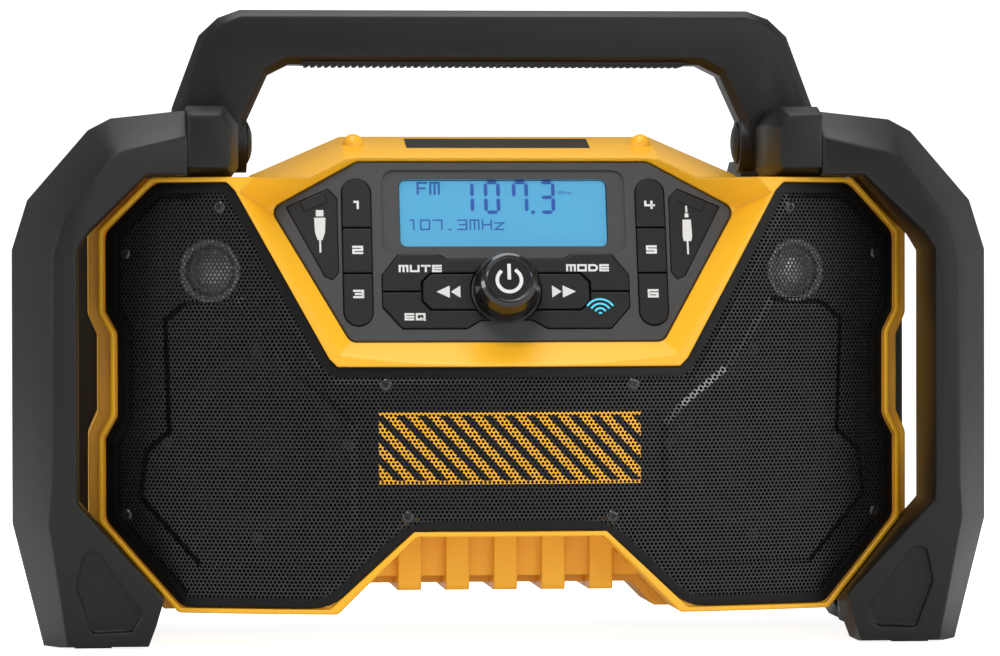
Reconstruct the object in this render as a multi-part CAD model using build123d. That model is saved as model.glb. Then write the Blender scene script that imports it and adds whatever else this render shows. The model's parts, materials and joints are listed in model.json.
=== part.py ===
from build123d import *
import os
from math import asin, cos, hypot, radians, sin, tan

# Jobsite radio: a bowed front shell with two speaker lobes and a tilted console, a rear shell with a
# battery bay, a bumper cage with feet, and a handle that folds back.
# X runs right, Y runs from front to rear, Z is up. The origin is the middle of the footprint, on the
# ground. Places along Y are given as a depth behind the foremost point of the front.

# ---- overall size, in millimetres
overall_width = 415.0
overall_depth = 200.0
overall_height = 271.0
half_width = overall_width / 2
front_radius = 360.0        # bow of the front, about a vertical axis
wall = 3.0                  # wall of both shells
part_gap = 0.4              # gap between neighbouring fixed parts
move_gap = 0.35             # gap round a part that moves

# ---- front shell, as an outline in X and Z
parting_depth = 105.0
cage_reach = 36.3           # the cage stands out past the lobes by this much on each side
lobe_half_width = overall_width / 2 - cage_reach
lobe_top = 198.0
lobe_bottom = 15.0
lobe_top_corner = 22.2      # the upper corner is cut by this much each way
lobe_low_corner_x = 33.2
lobe_low_corner_z = 37.5
notch_depth = 5.0
notch_top = 141.0
notch_bottom = 88.5
notch_ramp = 9.0
arch_half_width = 72.0
arch_height = 32.5          # of the arch above the lobes' lowest edge
arch_slope = 1.0
arch_set_back = 31.0
arch_floor = 14.5           # the rear of the arch is filled down to this height above the lobes
flare = 4.1                 # the sides stand out by this much behind the bumper
flare_depth = 52.0
flare_notch_depth = 4.0
groove_width = 1.5          # groove between the rim and the sides
groove_depth = 1.0
crown_half_width = 67.0
crown_top = 216.5
shoulder_top = 200.0
crown_depth = 78.0
crown_slope = 0.26
crown_front = 30.0
bump_radius = 4.6
bump_height = 4.4
bump_x = 62.0
bump_depth = 64.0
rib_count = 5
rib_pitch = 20.3
rib_width = 9.9
rib_depth = 27.0
rib_bottom = 23.5
rib_round = 4.0

# ---- grille and speakers
grille_rim = 2.4            # the yellow rim round the grille
grille_recess = 1.2
grille_thickness = 1.2
grille_ledge = 5.0
ledge_thickness = 3.0
front_skin = grille_recess + grille_thickness + ledge_thickness
grille_lean = 3.5           # cut of the grille's corners beside the console
grille_corner = 1.4
surround_lean = 13.5        # the slope round the console has run in by this much at its top
console_lean = 6.0          # and by this much at its foot
baffle_thickness = 3.0
pad_depth = 9.0             # flat pads under the speakers
pad_rim = 3.5
seat_drop = 5.0
flange_width = 5.5
woofer_flange = 2.5
woofer_inset = 64.2         # from the lobe's side to the woofer's axis
woofer_x = lobe_half_width - woofer_inset
woofer_z = 86.0
woofer_radius = 42.0
woofer_throat = 24.0
woofer_depth = 30.0
magnet_radius = 29.0
magnet_step = 2.0
magnet_plate = 4.0
magnet_length = 18.0
tweeter_x = 127.3
tweeter_z = 158.6
tweeter_radius = 18.0
tweeter_dome = 11.0
grille_screw_spots = [
    (120.9, 185.3),
    (lobe_half_width - 11.0, 166.0),
    (woofer_x - 54.8, 111.0),
    (woofer_x - 64.0, 55.7),
    (lobe_half_width - 11.4, 55.6),
]
screw_head_radius = 2.6
screw_head_height = 1.4
screw_shank_radius = 1.4
screw_length = 9.0
boss_radius = 3.6

# ---- console, in its own plane: u to the right, v up the slope, w out of the panel
tilt = 18.0
console_depth = 22.0        # depth and height of the knob's axis on the panel
console_z = 150.0
panel_thickness = 3.0
panel_top_half = 62.0
panel_side_half = 98.7
panel_low_half = 66.0
panel_top_v = 57.7
panel_side_v = 36.6
panel_low_v = -22.3
panel_corner = 5.0
console_lip = 5.0
surround_low_z = 118.5      # where the slope round the console starts on the bowed front
surround_low_half = 76.0
surround_side_half = 128.0
surround_side_z = 199.5
surround_top_half = 70.0
surround_top_z = 235.0
window_half_width = 44.2
window_low_v = 20.1
window_top_v = 50.1
window_frame = 7.5
window_recess = 1.0
window_thickness = 1.5
display_thickness = 3.4
key_proud = 0.8
key_travel = 0.8
preset_inner_u = 56.4
preset_width = 12.1
preset_edges_v = [49.6, 27.9, 7.7, -15.3]
key_slit = 0.7
knob_ring = 0.9
group_split_v = -0.4
tune_outer_u = 35.1
tune_top_v = 7.3
tune_low_v = -8.2
tune_corner = 3.6
cover_thickness = 2.0
cover_strap = 0.5
board_depth = 6.2
board_thickness = 1.6
inner_screw_length = 6.0
mat_thickness = 2.0
mat_half_width = 69.0
mat_column = 15.0
post_radius = 3.0
post_floor = 0.7            # left over the posts' blind holes
post_spots = [(-50.3, 45.0), (50.3, 45.0), (-50.3, 21.5), (50.3, 21.5)]

# ---- knob and encoder
knob_radius = 14.1
knob_face_radius = 10.5
knob_height = 14.5
knob_lift = 1.8
knob_bore_depth = 11.0
shaft_radius = 3.0
shaft_tail = 13.0
rotor_radius = 4.5
rotor_front = 3.4
rotor_back = 13.0
encoder_size = 13.0
encoder_depth = 7.0
fit_gap = 0.06              # running fit, radial

# ---- rear shell
gasket_thickness = 1.0
gasket_width = 2.5
rear_inset = 24.0           # the rear shell's sides lie behind the cage's by this much
rear_half_width = overall_width / 2 - rear_inset
rear_top = 196.0
rear_bottom = 13.0
rear_top_corner = 28.0
rear_low_corner_x = 31.0
rear_low_corner_z = 37.0
rear_arch_half = 78.0
rear_arch_rise = 14.0
rear_step = 12.0
rear_bar_proud = 12.0       # the rear bars stand out past the rear face
rear_step_length = 38.0
rear_face_depth = overall_depth - rear_bar_proud
rear_step_depth = rear_face_depth - rear_step_length
rear_flange = 3.5
bay_half_width = 47.0
bay_floor = 62.0
bay_depth = 60.0
rear_screw_inset = 20.0
rear_screw_spots = [
    (rear_half_width - rear_screw_inset, 158.0),
    (rear_half_width - rear_screw_inset, 66.0),
    (rear_half_width - 83.5, 34.0),
]
rear_screw_head = 3.6
rear_screw_shank = 2.0
rear_boss_radius = 5.5
rear_boss_length = 24.0
rear_boss_web = 18.0
rear_screw_grip = 13.0      # from the joint of the shells to the screws' seats
rear_seat_depth = parting_depth + rear_screw_grip

# ---- battery dock, boards and sockets
dock_thickness = 4.0
dock_margin = 1.5
rail_height = 9.0
rail_width = 5.0
rail_lip = 4.0
rail_lip_thickness = 3.0
rail_low_inset = 6.0
rail_top_inset = 20.0
rail_half_gap = 31.0
terminal_width = 44.0
terminal_height = 30.0
terminal_depth = 12.0
terminal_rise = 10.0        # from the bay's floor to the terminal block
contact_count = 4
contact_pitch = 9.0
contact_thickness = 1.2
contact_width = 9.0
contact_root = 3.0          # length of a blade inside the block
contact_reach = 14.0        # and above it
dock_screw_inset = 6.0
amp_half_width = 40.0
amp_low_z = 78.0
amp_top_z = 138.0
amp_post_length = 8.0
amp_screw_inset = 6.0
sink_fin_count = 7
sink_fin_pitch = 7.0
sink_fin_height = 14.0
sink_fin_thickness = 1.6
sink_half_width = 25.0
sink_inset = 14.0
sink_base = 3.0
jack_inset = 71.5           # from the rear shell's side to the jack's axis
jack_x = jack_inset - rear_half_width
jack_z = 52.0
jack_bore_radius = 2.8
jack_body_radius = 5.5
jack_length = 14.0
jack_bore_length = 10.0
jack_cover_half = 11.0
jack_cover_thickness = 2.0
usb_width = 5.7
usb_height = 13.1
usb_wall = 0.6
usb_tongue = 1.8
aux_radius = 4.2
aux_bore_radius = 1.8
socket_u = 78.0
socket_v = 27.5
socket_length = 13.0
socket_plate_width = 13.0
socket_plate_height = 19.0

# ---- bumper cage
bar_width = 28.0
bar_front = 5.0
bar_edge_depth = 27.0
bar_side_depth = 39.0
bar_back = 49.0
bar_screw_depth = 45.0
bracket_screw_depths = [45.0, 60.0]
bar_edge_inset = 6.5
bar_front_inset = 17.0
bar_inner_depth = 21.0
bar_inner_inset = 1.0
bar_sole_inset = 1.5
arm_reach = 37.2            # the arm lies this far along the lobe's top
arm_end_x = lobe_half_width - arm_reach
arm_top = 226.5
arm_low = lobe_top + part_gap
arm_corner_gap = 1.6
arm_slope_back = 12.0
foot_slope_back = 15.0
foot_slope_start = 70.0
foot_width = 57.0
heel_width = 3.0            # the heel leans back by this much
heel_height = 8.0
heel_reach = 5.5            # and ends this far up the shell's slanted edge
foot_half = half_width - foot_width
foot_lean = 13.0
sole_height = 0.8
foot_pocket = 4.0
foot_rail_width = 45.5
rail_half_inner = half_width - foot_rail_width
bracket_front = 17.0
bracket_back = 68.0
bracket_top = 228.0
bracket_bevel = 4.0
bracket_bevel_depth = 30.0
rear_bar_inset = 16.5
rear_bar_outer = half_width - rear_bar_inset
rear_bar_top = 208.0
rear_bar_reach = 65.5       # the rear bar lies this far along the rear shell's top
rear_bar_end_x = rear_half_width - rear_bar_reach
rear_foot_width = 27.0
rear_foot_inner = rear_bar_outer - rear_foot_width
rear_bevel = 5.0
pad_height = 2.0
pad_margin = 4.0
cage_screw_head = 4.0
cage_screw_shank = 2.0
cage_screw_reach = 9.0
rear_joint_heights = [135.0, 90.0]

# ---- handle
pivot_depth = 85.0
pivot_z = 214.0
hub_radius = 13.0
handle_overlap = 5.0        # the legs stand out past the joint of the bracket and the arm
handle_leg = 32.0           # width of a leg, along the pivot
handle_outer_half = arm_end_x + handle_overlap
handle_inner_half = handle_outer_half - handle_leg
handle_shoulder_z = 229.0
handle_bar_height = 23.4
grip_low = overall_height - handle_bar_height
handle_corner_z = overall_height - 11.0
handle_corner_half = handle_outer_half - 11.5
handle_top_half = handle_outer_half - 29.0
handle_neck_half = handle_inner_half - 9.0
grip_corner = 9.0
handle_bevel = 3.0
handle_bevel_depth = 5.0
lug_radius = 10.5
lug_half_width = 5.5
lug_gap = 0.5
lug_x = handle_outer_half - handle_leg / 2 + lug_gap
pin_radius = 3.0
pin_inset = 1.5
cap_radius = 9.0
cap_dome = 2.4
insert_half = handle_neck_half - 14.5
insert_depth = 20.0
insert_thickness = 3.2
insert_proud = 0.8
insert_rib_pitch = 3.0
insert_rib_width = 1.5
fork_half = lug_half_width + lug_gap
bracket_inner_x = handle_inner_half + 5.4
bracket_screw_x = lug_x + 0.9
arm_screw_x = arm_end_x + 8.0
shoulder_gap = 7.4          # from the bracket to the crown's shoulder
shoulder_half_width = bracket_inner_x - shoulder_gap


# ---- helpers
def y_at(depth):
    return depth - overall_depth / 2


def symmetric(right_half):
    return right_half + [(-x, z) for x, z in reversed(right_half) if x > 0]


def outline(points, radius=0.0):
    turn = sum(a[0] * b[1] - b[0] * a[1] for a, b in zip(points, points[1:] + points[:1]))
    sketch = Polygon(*(points if turn > 0 else reversed(points)), align=None)
    return fillet(sketch.vertices(), radius) if radius > 0 else sketch


def grown(sketch, amount):
    return offset(sketch, amount, kind=Kind.INTERSECTION)


def prism(sketch, front, back):
    placed = Plane.XZ.offset(-y_at(back)) * sketch
    return extrude(placed, amount=back - front, dir=(0, -1, 0))


def inset(points, distances):
    """Moves each edge of a closed outline inwards by its own distance."""
    count = len(points)
    following = points[1:] + points[:1]
    turn = sum(a[0] * b[1] - b[0] * a[1] for a, b in zip(points, following))
    side = 1 if turn > 0 else -1
    lines = []
    for (x0, z0), (x1, z1), distance in zip(points, following, distances):
        length = hypot(x1 - x0, z1 - z0)
        normal_x = -side * (z1 - z0) / length
        normal_z = side * (x1 - x0) / length
        lines.append((normal_x, normal_z, normal_x * x0 + normal_z * z0 + distance))
    moved = []
    for index in range(count):
        ax, az, a = lines[index - 1]
        bx, bz, b = lines[index]
        det = ax * bz - az * bx
        moved.append(((a * bz - b * az) / det, (ax * b - bx * a) / det))
    return moved


def lofted(sections):
    """Flat-sided solid through outlines given as (depth, points)."""
    faces = [Plane.XZ.offset(-y_at(depth)) * outline(points) for depth, points in sections]
    return loft(faces, ruled=True)


def box(low, high):
    size = [b - a for a, b in zip(low, high)]
    middle = [(a + b) / 2 for a, b in zip(low, high)]
    return Pos(*middle) * Box(*size)


def rod(start, direction, radius, length):
    plane = Plane(origin=start, z_dir=direction)
    return plane * extrude(Circle(radius), amount=length)


def behind_bow(skin):
    """All that lies behind the bowed front when it is set back by skin."""
    height = 2 * overall_height
    return Pos(0, y_at(0) + front_radius, 0) * Cylinder(front_radius - skin, height)


def bow_plane(x, z, skin):
    """Plane on the bowed front at x and z, set back by skin, looking outwards."""
    angle = asin(x / front_radius)
    reach = front_radius - skin
    origin = (reach * sin(angle), y_at(0) + front_radius - reach * cos(angle), z)
    return Plane(origin=origin, x_dir=(cos(angle), sin(angle), 0), z_dir=(sin(angle), -cos(angle), 0))


console = Plane(
    origin=(0, y_at(console_depth), console_z),
    x_dir=(1, 0, 0),
    z_dir=(0, -cos(radians(tilt)), sin(radians(tilt))),
)


def on_console(sketch, low, high):
    """Solid of an outline drawn on the console, from height low to height high."""
    return console * (Pos(0, 0, low) * extrude(sketch, amount=high - low))


def mirrored(shape):
    return mirror(shape, about=Plane.YZ)


# ---- outlines of the shells
def lobe_side(depth_of_notch=notch_depth):
    """Right side of the front shell, from the top edge to the bottom edge."""
    notch = lobe_half_width - depth_of_notch
    return [
        (lobe_half_width - lobe_top_corner, lobe_top),
        (lobe_half_width, lobe_top - lobe_top_corner),
        (lobe_half_width, notch_top),
        (notch, notch_top - notch_ramp),
        (notch, notch_bottom + notch_ramp),
        (lobe_half_width, notch_bottom),
        (lobe_half_width, lobe_bottom + lobe_low_corner_z),
        (lobe_half_width - lobe_low_corner_x, lobe_bottom),
    ]


def front_outline():
    arch = [
        (arch_half_width, lobe_bottom),
        (arch_half_width - arch_height / arch_slope, lobe_bottom + arch_height),
    ]
    return outline(symmetric(lobe_side() + arch), notch_ramp / 3)


def rear_section_outline(depth_of_notch=notch_depth):
    """Outline of the front shell behind the arch, where the arch is shallow."""
    arch = [
        (arch_half_width, lobe_bottom),
        (arch_half_width - arch_floor / arch_slope, lobe_bottom + arch_floor),
    ]
    return outline(symmetric(lobe_side(depth_of_notch) + arch), notch_ramp / 3)


def grille_outline():
    """The grille fills the lobes inside the rim, and passes under the console."""
    rim = grille_rim
    side = inset(lobe_side() + [(0, lobe_bottom), (0, lobe_top)], [rim] * 7 + [rim, 0, rim])[:8]
    slope = (surround_side_z - surround_low_z) / (surround_side_half - surround_low_half)
    lower_half = surround_low_half - console_lean / slope
    middle_z = surround_low_z - part_gap
    arch_shift = grille_rim * (hypot(1, arch_slope) - 1) / arch_slope
    arch = [
        (arch_half_width + grille_rim + arch_shift, side[-1][1]),
        (arch_half_width - arch_height / arch_slope + arch_shift, lobe_bottom + arch_height + rim),
    ]
    top_z = side[0][1]
    inner = [
        (lower_half, middle_z),
        (lower_half + grille_lean, middle_z + grille_lean),
        (surround_side_half - surround_lean, top_z - grille_lean),
        (surround_side_half - surround_lean + grille_lean, top_z),
    ]
    return outline(symmetric(inner + side + arch), grille_corner)


def console_outline():
    return [
        (-panel_top_half, panel_top_v),
        (panel_top_half, panel_top_v),
        (panel_side_half, panel_side_v),
        (panel_low_half, panel_low_v),
        (-panel_low_half, panel_low_v),
        (-panel_side_half, panel_side_v),
    ]


def surround_outline():
    return [
        (-surround_top_half, surround_top_z),
        (surround_top_half, surround_top_z),
        (surround_side_half, surround_side_z),
        (surround_low_half, surround_low_z),
        (-surround_low_half, surround_low_z),
        (-surround_side_half, surround_side_z),
    ]


def console_hollow(margin):
    """The sloped hollow in front of the panel, with a margin all round."""
    count = len(console_outline())
    outer = inset(surround_outline(), [-margin] * count)
    inner = inset(console_outline(), [-margin - part_gap] * count)
    front_face = Plane.XZ.offset(-y_at(0)) * outline(outer)
    panel_face = console * outline(inner)
    return loft([front_face, panel_face], ruled=True)


def crown_points(margin):
    points = [
        (crown_half_width, crown_top),
        (shoulder_half_width, shoulder_top),
        (shoulder_half_width, lobe_top - 4 * wall),
    ]
    points = symmetric(points)
    return inset(points, [margin] * len(points))


def crown(margin, back):
    """The raised middle of the top, which climbs from the console to its ridge."""
    drop = (crown_depth - crown_front) * crown_slope
    ridge = crown_points(margin)
    low = [(x, z - drop) for x, z in ridge]
    climb = lofted([(crown_front + margin, low), (crown_depth, ridge)])
    return climb + prism(outline(ridge), crown_depth, back)


# ---- shells
def make_front_housing():
    section = rear_section_outline()
    shell = prism(front_outline(), -1, parting_depth) & behind_bow(0)
    shell += prism(section, arch_set_back, parting_depth) & behind_bow(0)
    groove = grown(front_outline(), 1) - grown(front_outline(), -groove_depth)
    shell -= prism(groove, flare_depth - groove_width, flare_depth)
    sides = prism(grown(rear_section_outline(flare_notch_depth), flare), flare_depth, parting_depth)
    ground = box(
        (-overall_width, y_at(0), lobe_bottom), (overall_width, y_at(parting_depth), lobe_top)
    )
    shell += sides & ground
    shell += crown(0, parting_depth)
    shell += make_ribs()
    hollow = prism(grown(front_outline(), -wall), 0, parting_depth + 1)
    hollow += prism(grown(section, -wall), arch_set_back + wall, parting_depth + 1)
    hollow = hollow & behind_bow(front_skin)
    hollow += crown(wall, parting_depth - wall)
    keep = console_hollow(wall)
    keep += on_console(outline(inset(console_outline(), [-wall] * 6)), -panel_thickness - wall, 0)
    shell -= hollow - keep
    shell -= console_hollow(0)
    pocket = outline(inset(console_outline(), [-part_gap] * 6), panel_corner)
    shell -= on_console(pocket, -panel_thickness, 1)
    opening = outline(inset(console_outline(), [console_lip] * 6), panel_corner)
    shell -= on_console(opening, -panel_thickness - 2 * wall, 1)
    for side in (-1, 1):
        shell -= on_console(preset_slot(side, move_gap), -panel_thickness - key_travel - part_gap, 1)
    grille_pocket = prism(grown(grille_outline(), part_gap), -1, flare_depth)
    shell -= grille_pocket - behind_bow(grille_recess + grille_thickness)
    opening = prism(grown(grille_outline(), -grille_ledge), -1, flare_depth)
    shell -= opening - behind_bow(front_skin)
    for x in (-bump_x, bump_x):
        top = crown_top - (crown_depth - bump_depth) * crown_slope
        shell += Pos(x, y_at(bump_depth), top + bump_height - bump_radius) * Sphere(bump_radius)
    for x, z in rear_screw_spots:
        for side in (-1, 1):
            start = (side * x, y_at(parting_depth), z)
            boss = rod(start, (0, -1, 0), rear_boss_radius, rear_boss_length)
            boss += box(
                (side * x - wall / 2, y_at(parting_depth - rear_boss_length), z - rear_boss_web),
                (side * x + wall / 2, y_at(parting_depth), z),
            )
            shell += boss & prism(section, 0, parting_depth)
            shell -= rod(start, (0, -1, 0), rear_screw_shank, rear_boss_length - wall)
    for x, z in grille_screw_spots:
        for side in (-1, 1):
            plane = bow_plane(side * x, z, 2 * front_skin)
            shell -= plane * extrude(Circle(screw_shank_radius + part_gap / 2), amount=2 * front_skin)
    for side in (-1, 1):
        for plane in top_joints(side) + [foot_joint(side)]:
            shell -= cage_screw_hole(plane)
    return shell


def make_ribs():
    top = lobe_bottom + arch_height + wall
    block = Part()
    for index in range(rib_count):
        middle = (index - (rib_count - 1) / 2) * rib_pitch
        rib = box(
            (middle - rib_width / 2, y_at(rib_depth), rib_bottom),
            (middle + rib_width / 2, y_at(parting_depth), top),
        )
        front = rib.edges().filter_by(Axis.X).sort_by(Axis.Y)[:2].sort_by(Axis.Z)[:1]
        rib = fillet(front, rib_round)
        block += rib
    return block


def make_rear_housing():
    """Rear shell with its flange, a step for the rear bars and the battery bay."""
    front = parting_depth + gasket_thickness
    points = rear_points()
    step = inset(points, [rear_step] * len(points))
    shell = prism(outline(points, 4 * wall), front, rear_step_depth)
    shell += prism(outline(step, 2 * wall), rear_step_depth - 1, rear_face_depth)
    hollow = prism(grown(outline(points, 4 * wall), -wall), front + rear_flange, rear_step_depth - wall)
    hollow += prism(grown(outline(step, 2 * wall), -wall), front + rear_flange, rear_face_depth - wall)
    hollow += prism(grown(rear_section_outline(), -gasket_width), front - 1, front + rear_flange + 1)
    bay_front = rear_face_depth - bay_depth
    bay_block = box(
        (-bay_half_width - wall, y_at(bay_front - wall), bay_floor - wall),
        (bay_half_width + wall, y_at(rear_face_depth), rear_top),
    )
    shell -= hollow - bay_block
    shell -= box(
        (-bay_half_width, y_at(bay_front), bay_floor),
        (bay_half_width, y_at(rear_face_depth + 1), rear_top + 1),
    )
    inside = prism(outline(step), front, rear_face_depth)
    for x, z in rear_screw_spots:
        for side in (-1, 1):
            start = (side * x, y_at(front), z)
            tunnel = rod(start, (0, 1, 0), rear_boss_radius, rear_face_depth - front)
            shell += tunnel & inside
            shell -= rod(start, (0, 1, 0), rear_screw_shank + part_gap / 2, rear_face_depth)
            seat = (side * x, y_at(rear_seat_depth), z)
            shell -= rod(seat, (0, 1, 0), rear_screw_head + part_gap, rear_face_depth)
    for x, z in amp_spots() + dock_spots():
        start = (x, y_at(bay_front - 1), z)
        shell += rod(start, (0, -1, 0), post_radius, wall + amp_post_length - 1)
        shell -= rod((x, y_at(bay_front), z), (0, -1, 0), screw_shank_radius, wall + amp_post_length)
    back = (jack_x, y_at(rear_face_depth), jack_z)
    shell += rod(back, (0, -1, 0), jack_body_radius + wall, jack_length)
    shell -= rod(back, (0, -1, 0), jack_body_radius, jack_length)
    shell -= prism(jack_cover_outline(move_gap), rear_face_depth - jack_cover_thickness, rear_face_depth + 1)
    for side in (-1, 1):
        for plane in rear_joints(side):
            shell -= cage_screw_hole(plane)
    return shell


def jack_cover_outline(margin):
    half = jack_cover_half + margin
    return Pos(jack_x, jack_z) * RectangleRounded(2 * half, 2 * half, wall)


def make_power_jack_cover():
    """Rubber flap over the power jack, hinged along its upper edge."""
    front = rear_face_depth - jack_cover_thickness
    cover = prism(jack_cover_outline(0), front + 0.1, rear_face_depth)
    strap = Pos(jack_x, jack_z + jack_cover_half - wall) * Rectangle(jack_cover_half, wall)
    return cover + prism(strap, rear_face_depth - 1, rear_face_depth + cover_strap)


def rear_points():
    return symmetric([
        (rear_half_width - rear_top_corner, rear_top),
        (rear_half_width, rear_top - rear_top_corner),
        (rear_half_width, rear_bottom + rear_low_corner_z),
        (rear_half_width - rear_low_corner_x, rear_bottom),
        (rear_arch_half, rear_bottom),
        (rear_arch_half - rear_arch_rise, rear_bottom + rear_arch_rise),
    ])


def make_gasket():
    ring = grown(rear_section_outline(), 1.0) - grown(rear_section_outline(), 1.0 - gasket_width)
    return prism(ring, parting_depth, parting_depth + gasket_thickness)


# ---- grille and speakers
def make_grille():
    sheet = prism(grille_outline(), -1, flare_depth)
    sheet = sheet & behind_bow(grille_recess)
    sheet -= behind_bow(grille_recess + grille_thickness)
    for x, z in grille_screw_spots:
        for side in (-1, 1):
            plane = bow_plane(side * x, z, grille_recess + 2 * grille_thickness)
            hole = extrude(Circle(screw_shank_radius + part_gap / 2), amount=4 * grille_thickness)
            sheet -= plane * hole
    return sheet


def make_grille_screw(x, z):
    plane = bow_plane(x, z, grille_recess)
    head = extrude(Circle(screw_head_radius), amount=screw_head_height)
    head = fillet(head.edges().sort_by(Axis.Z)[-1], screw_head_height / 2)
    shank = Pos(0, 0, -screw_length) * extrude(Circle(screw_shank_radius), amount=screw_length)
    slot = Pos(0, 0, screw_head_height) * Box(2 * screw_head_radius, 0.7, 0.8)
    screw = (head + shank) - slot
    return plane * screw


def make_baffle():
    """Board behind the grille that carries the speakers, cut to the front shell's inside."""
    front = front_skin
    edge = prism(grown(front_outline(), -wall - part_gap), 0, parting_depth)
    board = edge & behind_bow(front)
    board -= behind_bow(front + baffle_thickness)
    for side in (-1, 1):
        plane = bow_plane(side * woofer_x, woofer_z, front)
        pad = Pos(0, 0, -pad_depth) * extrude(Circle(woofer_radius + pad_rim), amount=pad_depth)
        board += (plane * pad) & behind_bow(front) & edge
        plane = bow_plane(side * tweeter_x, tweeter_z, front)
        pad = Pos(0, 0, -pad_depth) * extrude(Circle(tweeter_radius + pad_rim), amount=pad_depth)
        board += (plane * pad) & behind_bow(front) & edge
    for side in (-1, 1):
        for x, z, radius in (
            (woofer_x, woofer_z, woofer_radius),
            (tweeter_x, tweeter_z, tweeter_radius),
        ):
            plane = bow_plane(side * x, z, front)
            seat = Pos(0, 0, -seat_drop) * extrude(Circle(radius + part_gap), amount=pad_depth)
            bore = Pos(0, 0, -2 * pad_depth) * extrude(Circle(radius - flange_width), amount=3 * pad_depth)
            board -= plane * (seat + bore)
    keep = console_hollow(wall + part_gap)
    keep += on_console(
        outline(inset(console_outline(), [-wall - part_gap] * 6)), -panel_thickness - 2 * wall, 0
    )
    board -= keep
    open_area = prism(grown(grille_outline(), -grille_ledge - part_gap), 0, flare_depth)
    for x, z in grille_screw_spots:
        for side in (-1, 1):
            plane = bow_plane(side * x, z, grille_recess + grille_thickness + part_gap / 4)
            length = screw_length - grille_thickness + wall
            post = plane * (Pos(0, 0, -length) * extrude(Circle(boss_radius), amount=length))
            board += post & (open_area + behind_bow(front)) & edge
            board -= plane * (Pos(0, 0, -length) * extrude(Circle(screw_shank_radius), amount=2 * length))
    for side in (-1, 1):
        for plane in top_joints(side) + [foot_joint(side)]:
            notch = extrude(Circle(cage_screw_head + part_gap), amount=2 * cage_screw_head)
            board -= plane * (Pos(0, 0, -2 * cage_screw_head) * notch)
        for plane in speaker_screw_planes(side):
            board -= plane * (Pos(0, 0, -pad_depth) * extrude(Circle(screw_shank_radius), amount=pad_depth))
    return board


def speaker_screw_planes(side):
    """Where the woofer and the tweeter are screwed to their seats, looking out of the seat."""
    planes = []
    ring = woofer_radius - flange_width / 2
    seat = bow_plane(side * woofer_x, woofer_z, front_skin + seat_drop - woofer_flange)
    for turn in range(4):
        planes.append(seat * Rot(0, 0, 90 * turn) * Pos(ring, 0, 0))
    return planes


def make_woofer(side):
    """Frame, cone and magnet of one woofer, each turned about the speaker's axis."""
    plane = bow_plane(side * woofer_x, woofer_z, front_skin + seat_drop)
    rim = woofer_radius
    throat = woofer_throat
    back = woofer_depth
    inner = rim - flange_width - 0.3
    frame = revolved(Polyline(
        (inner, 0.0), (rim, 0.0), (rim, woofer_flange), (inner - 1.5, woofer_flange),
        (throat - 1.5, -back + 2.0), (12.0, -back + 2.0), (12.0, -back), (throat + 1.0, -back),
        (inner, -1.0), close=True,
    ))
    for turn in range(4):
        frame -= Rot(0, 0, 45 + 90 * turn) * Pos(rim - 12, 0, -back / 2 - 1) * Box(22, 20, 14)
        frame -= Rot(0, 0, 90 * turn) * Pos(rim - flange_width / 2, 0) * Cylinder(screw_shank_radius, back)
    roll = inner - 2.5
    foot = woofer_flange
    cone = Polyline(
        (inner + 0.3, foot), (inner + 0.3, foot + 0.9), (roll, foot + 0.9), (roll - 1.0, foot + 2.0),
        (roll - 4.0, foot + 2.0), (roll - 6.5, 1.8), (11.5, -14.0), (8.0, -11.2), (0.0, -9.6),
        (0.0, -10.6), (7.6, -12.2), (10.6, -15.6), (10.6, -back + 3), (11.8, -back + 3), (11.8, -15.2),
        (roll - 5.9, 0.6), (roll - 3.4, foot + 1.0), (roll - 1.5, foot + 1.0), (roll - 0.5, foot),
        close=True,
    )
    cone = revolved(cone)
    plate = magnet_radius - magnet_step
    end = -back - magnet_length
    magnet = revolved(Polyline(
        (0.0, -back), (plate, -back), (plate, -back - magnet_plate), (magnet_radius, -back - magnet_plate),
        (magnet_radius, end + magnet_plate), (plate, end + magnet_plate), (plate, end), (0.0, end),
        close=True,
    ))
    return plane * frame, plane * cone, plane * magnet


def revolved(wire):
    """Turns a closed profile, given as radius and height, about the Z axis."""
    profile = Plane.XZ * make_face(wire)
    return revolve(profile, axis=Axis.Z)


def make_tweeter(side):
    plane = bow_plane(side * tweeter_x, tweeter_z, front_skin + seat_drop)
    rim = tweeter_radius
    dome = tweeter_dome
    frame = revolved(Polyline(
        (dome + 0.8, 0.0), (dome + 0.8, 1.2), (rim - 2.0, 3.0), (rim, 3.0), (rim, 0.0),
        (rim - flange_width, 0.0), (rim - flange_width, -12.0), (0.0, -12.0), (0.0, -3.0),
        (dome + 0.3, -3.0), (dome + 0.3, 0.0), close=True,
    ))
    cap = revolved(Polyline(
        (0.0, 4.2), (3.0, 4.0), (6.0, 3.2), (8.6, 1.8), (dome, -0.4), (dome, -3.0), (dome - 0.6, -3.0),
        (dome - 0.6, -0.7), (8.2, 1.3), (5.7, 2.6), (2.9, 3.4), (0.0, 3.6), close=True,
    ))
    return plane * frame, plane * cap


# ---- console
def obround(inner_u, outer_u, low_v, top_v):
    """Slot with round ends, standing upright."""
    width = outer_u - inner_u
    middle = (inner_u + outer_u) / 2
    return Pos(middle, (low_v + top_v) / 2) * SlotOverall(top_v - low_v, width, rotation=90)


def preset_slot(side, margin):
    inner = preset_inner_u - margin
    outer = preset_inner_u + preset_width + margin
    low, high = (inner, outer) if side > 0 else (-outer, -inner)
    return obround(low, high, preset_edges_v[-1] - margin, preset_edges_v[0] + margin)


def band(low_v, top_v):
    """Strip across the whole panel between two heights."""
    width = 4 * panel_side_half
    return Pos(0, (low_v + top_v) / 2) * Rectangle(width, top_v - low_v)


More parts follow.
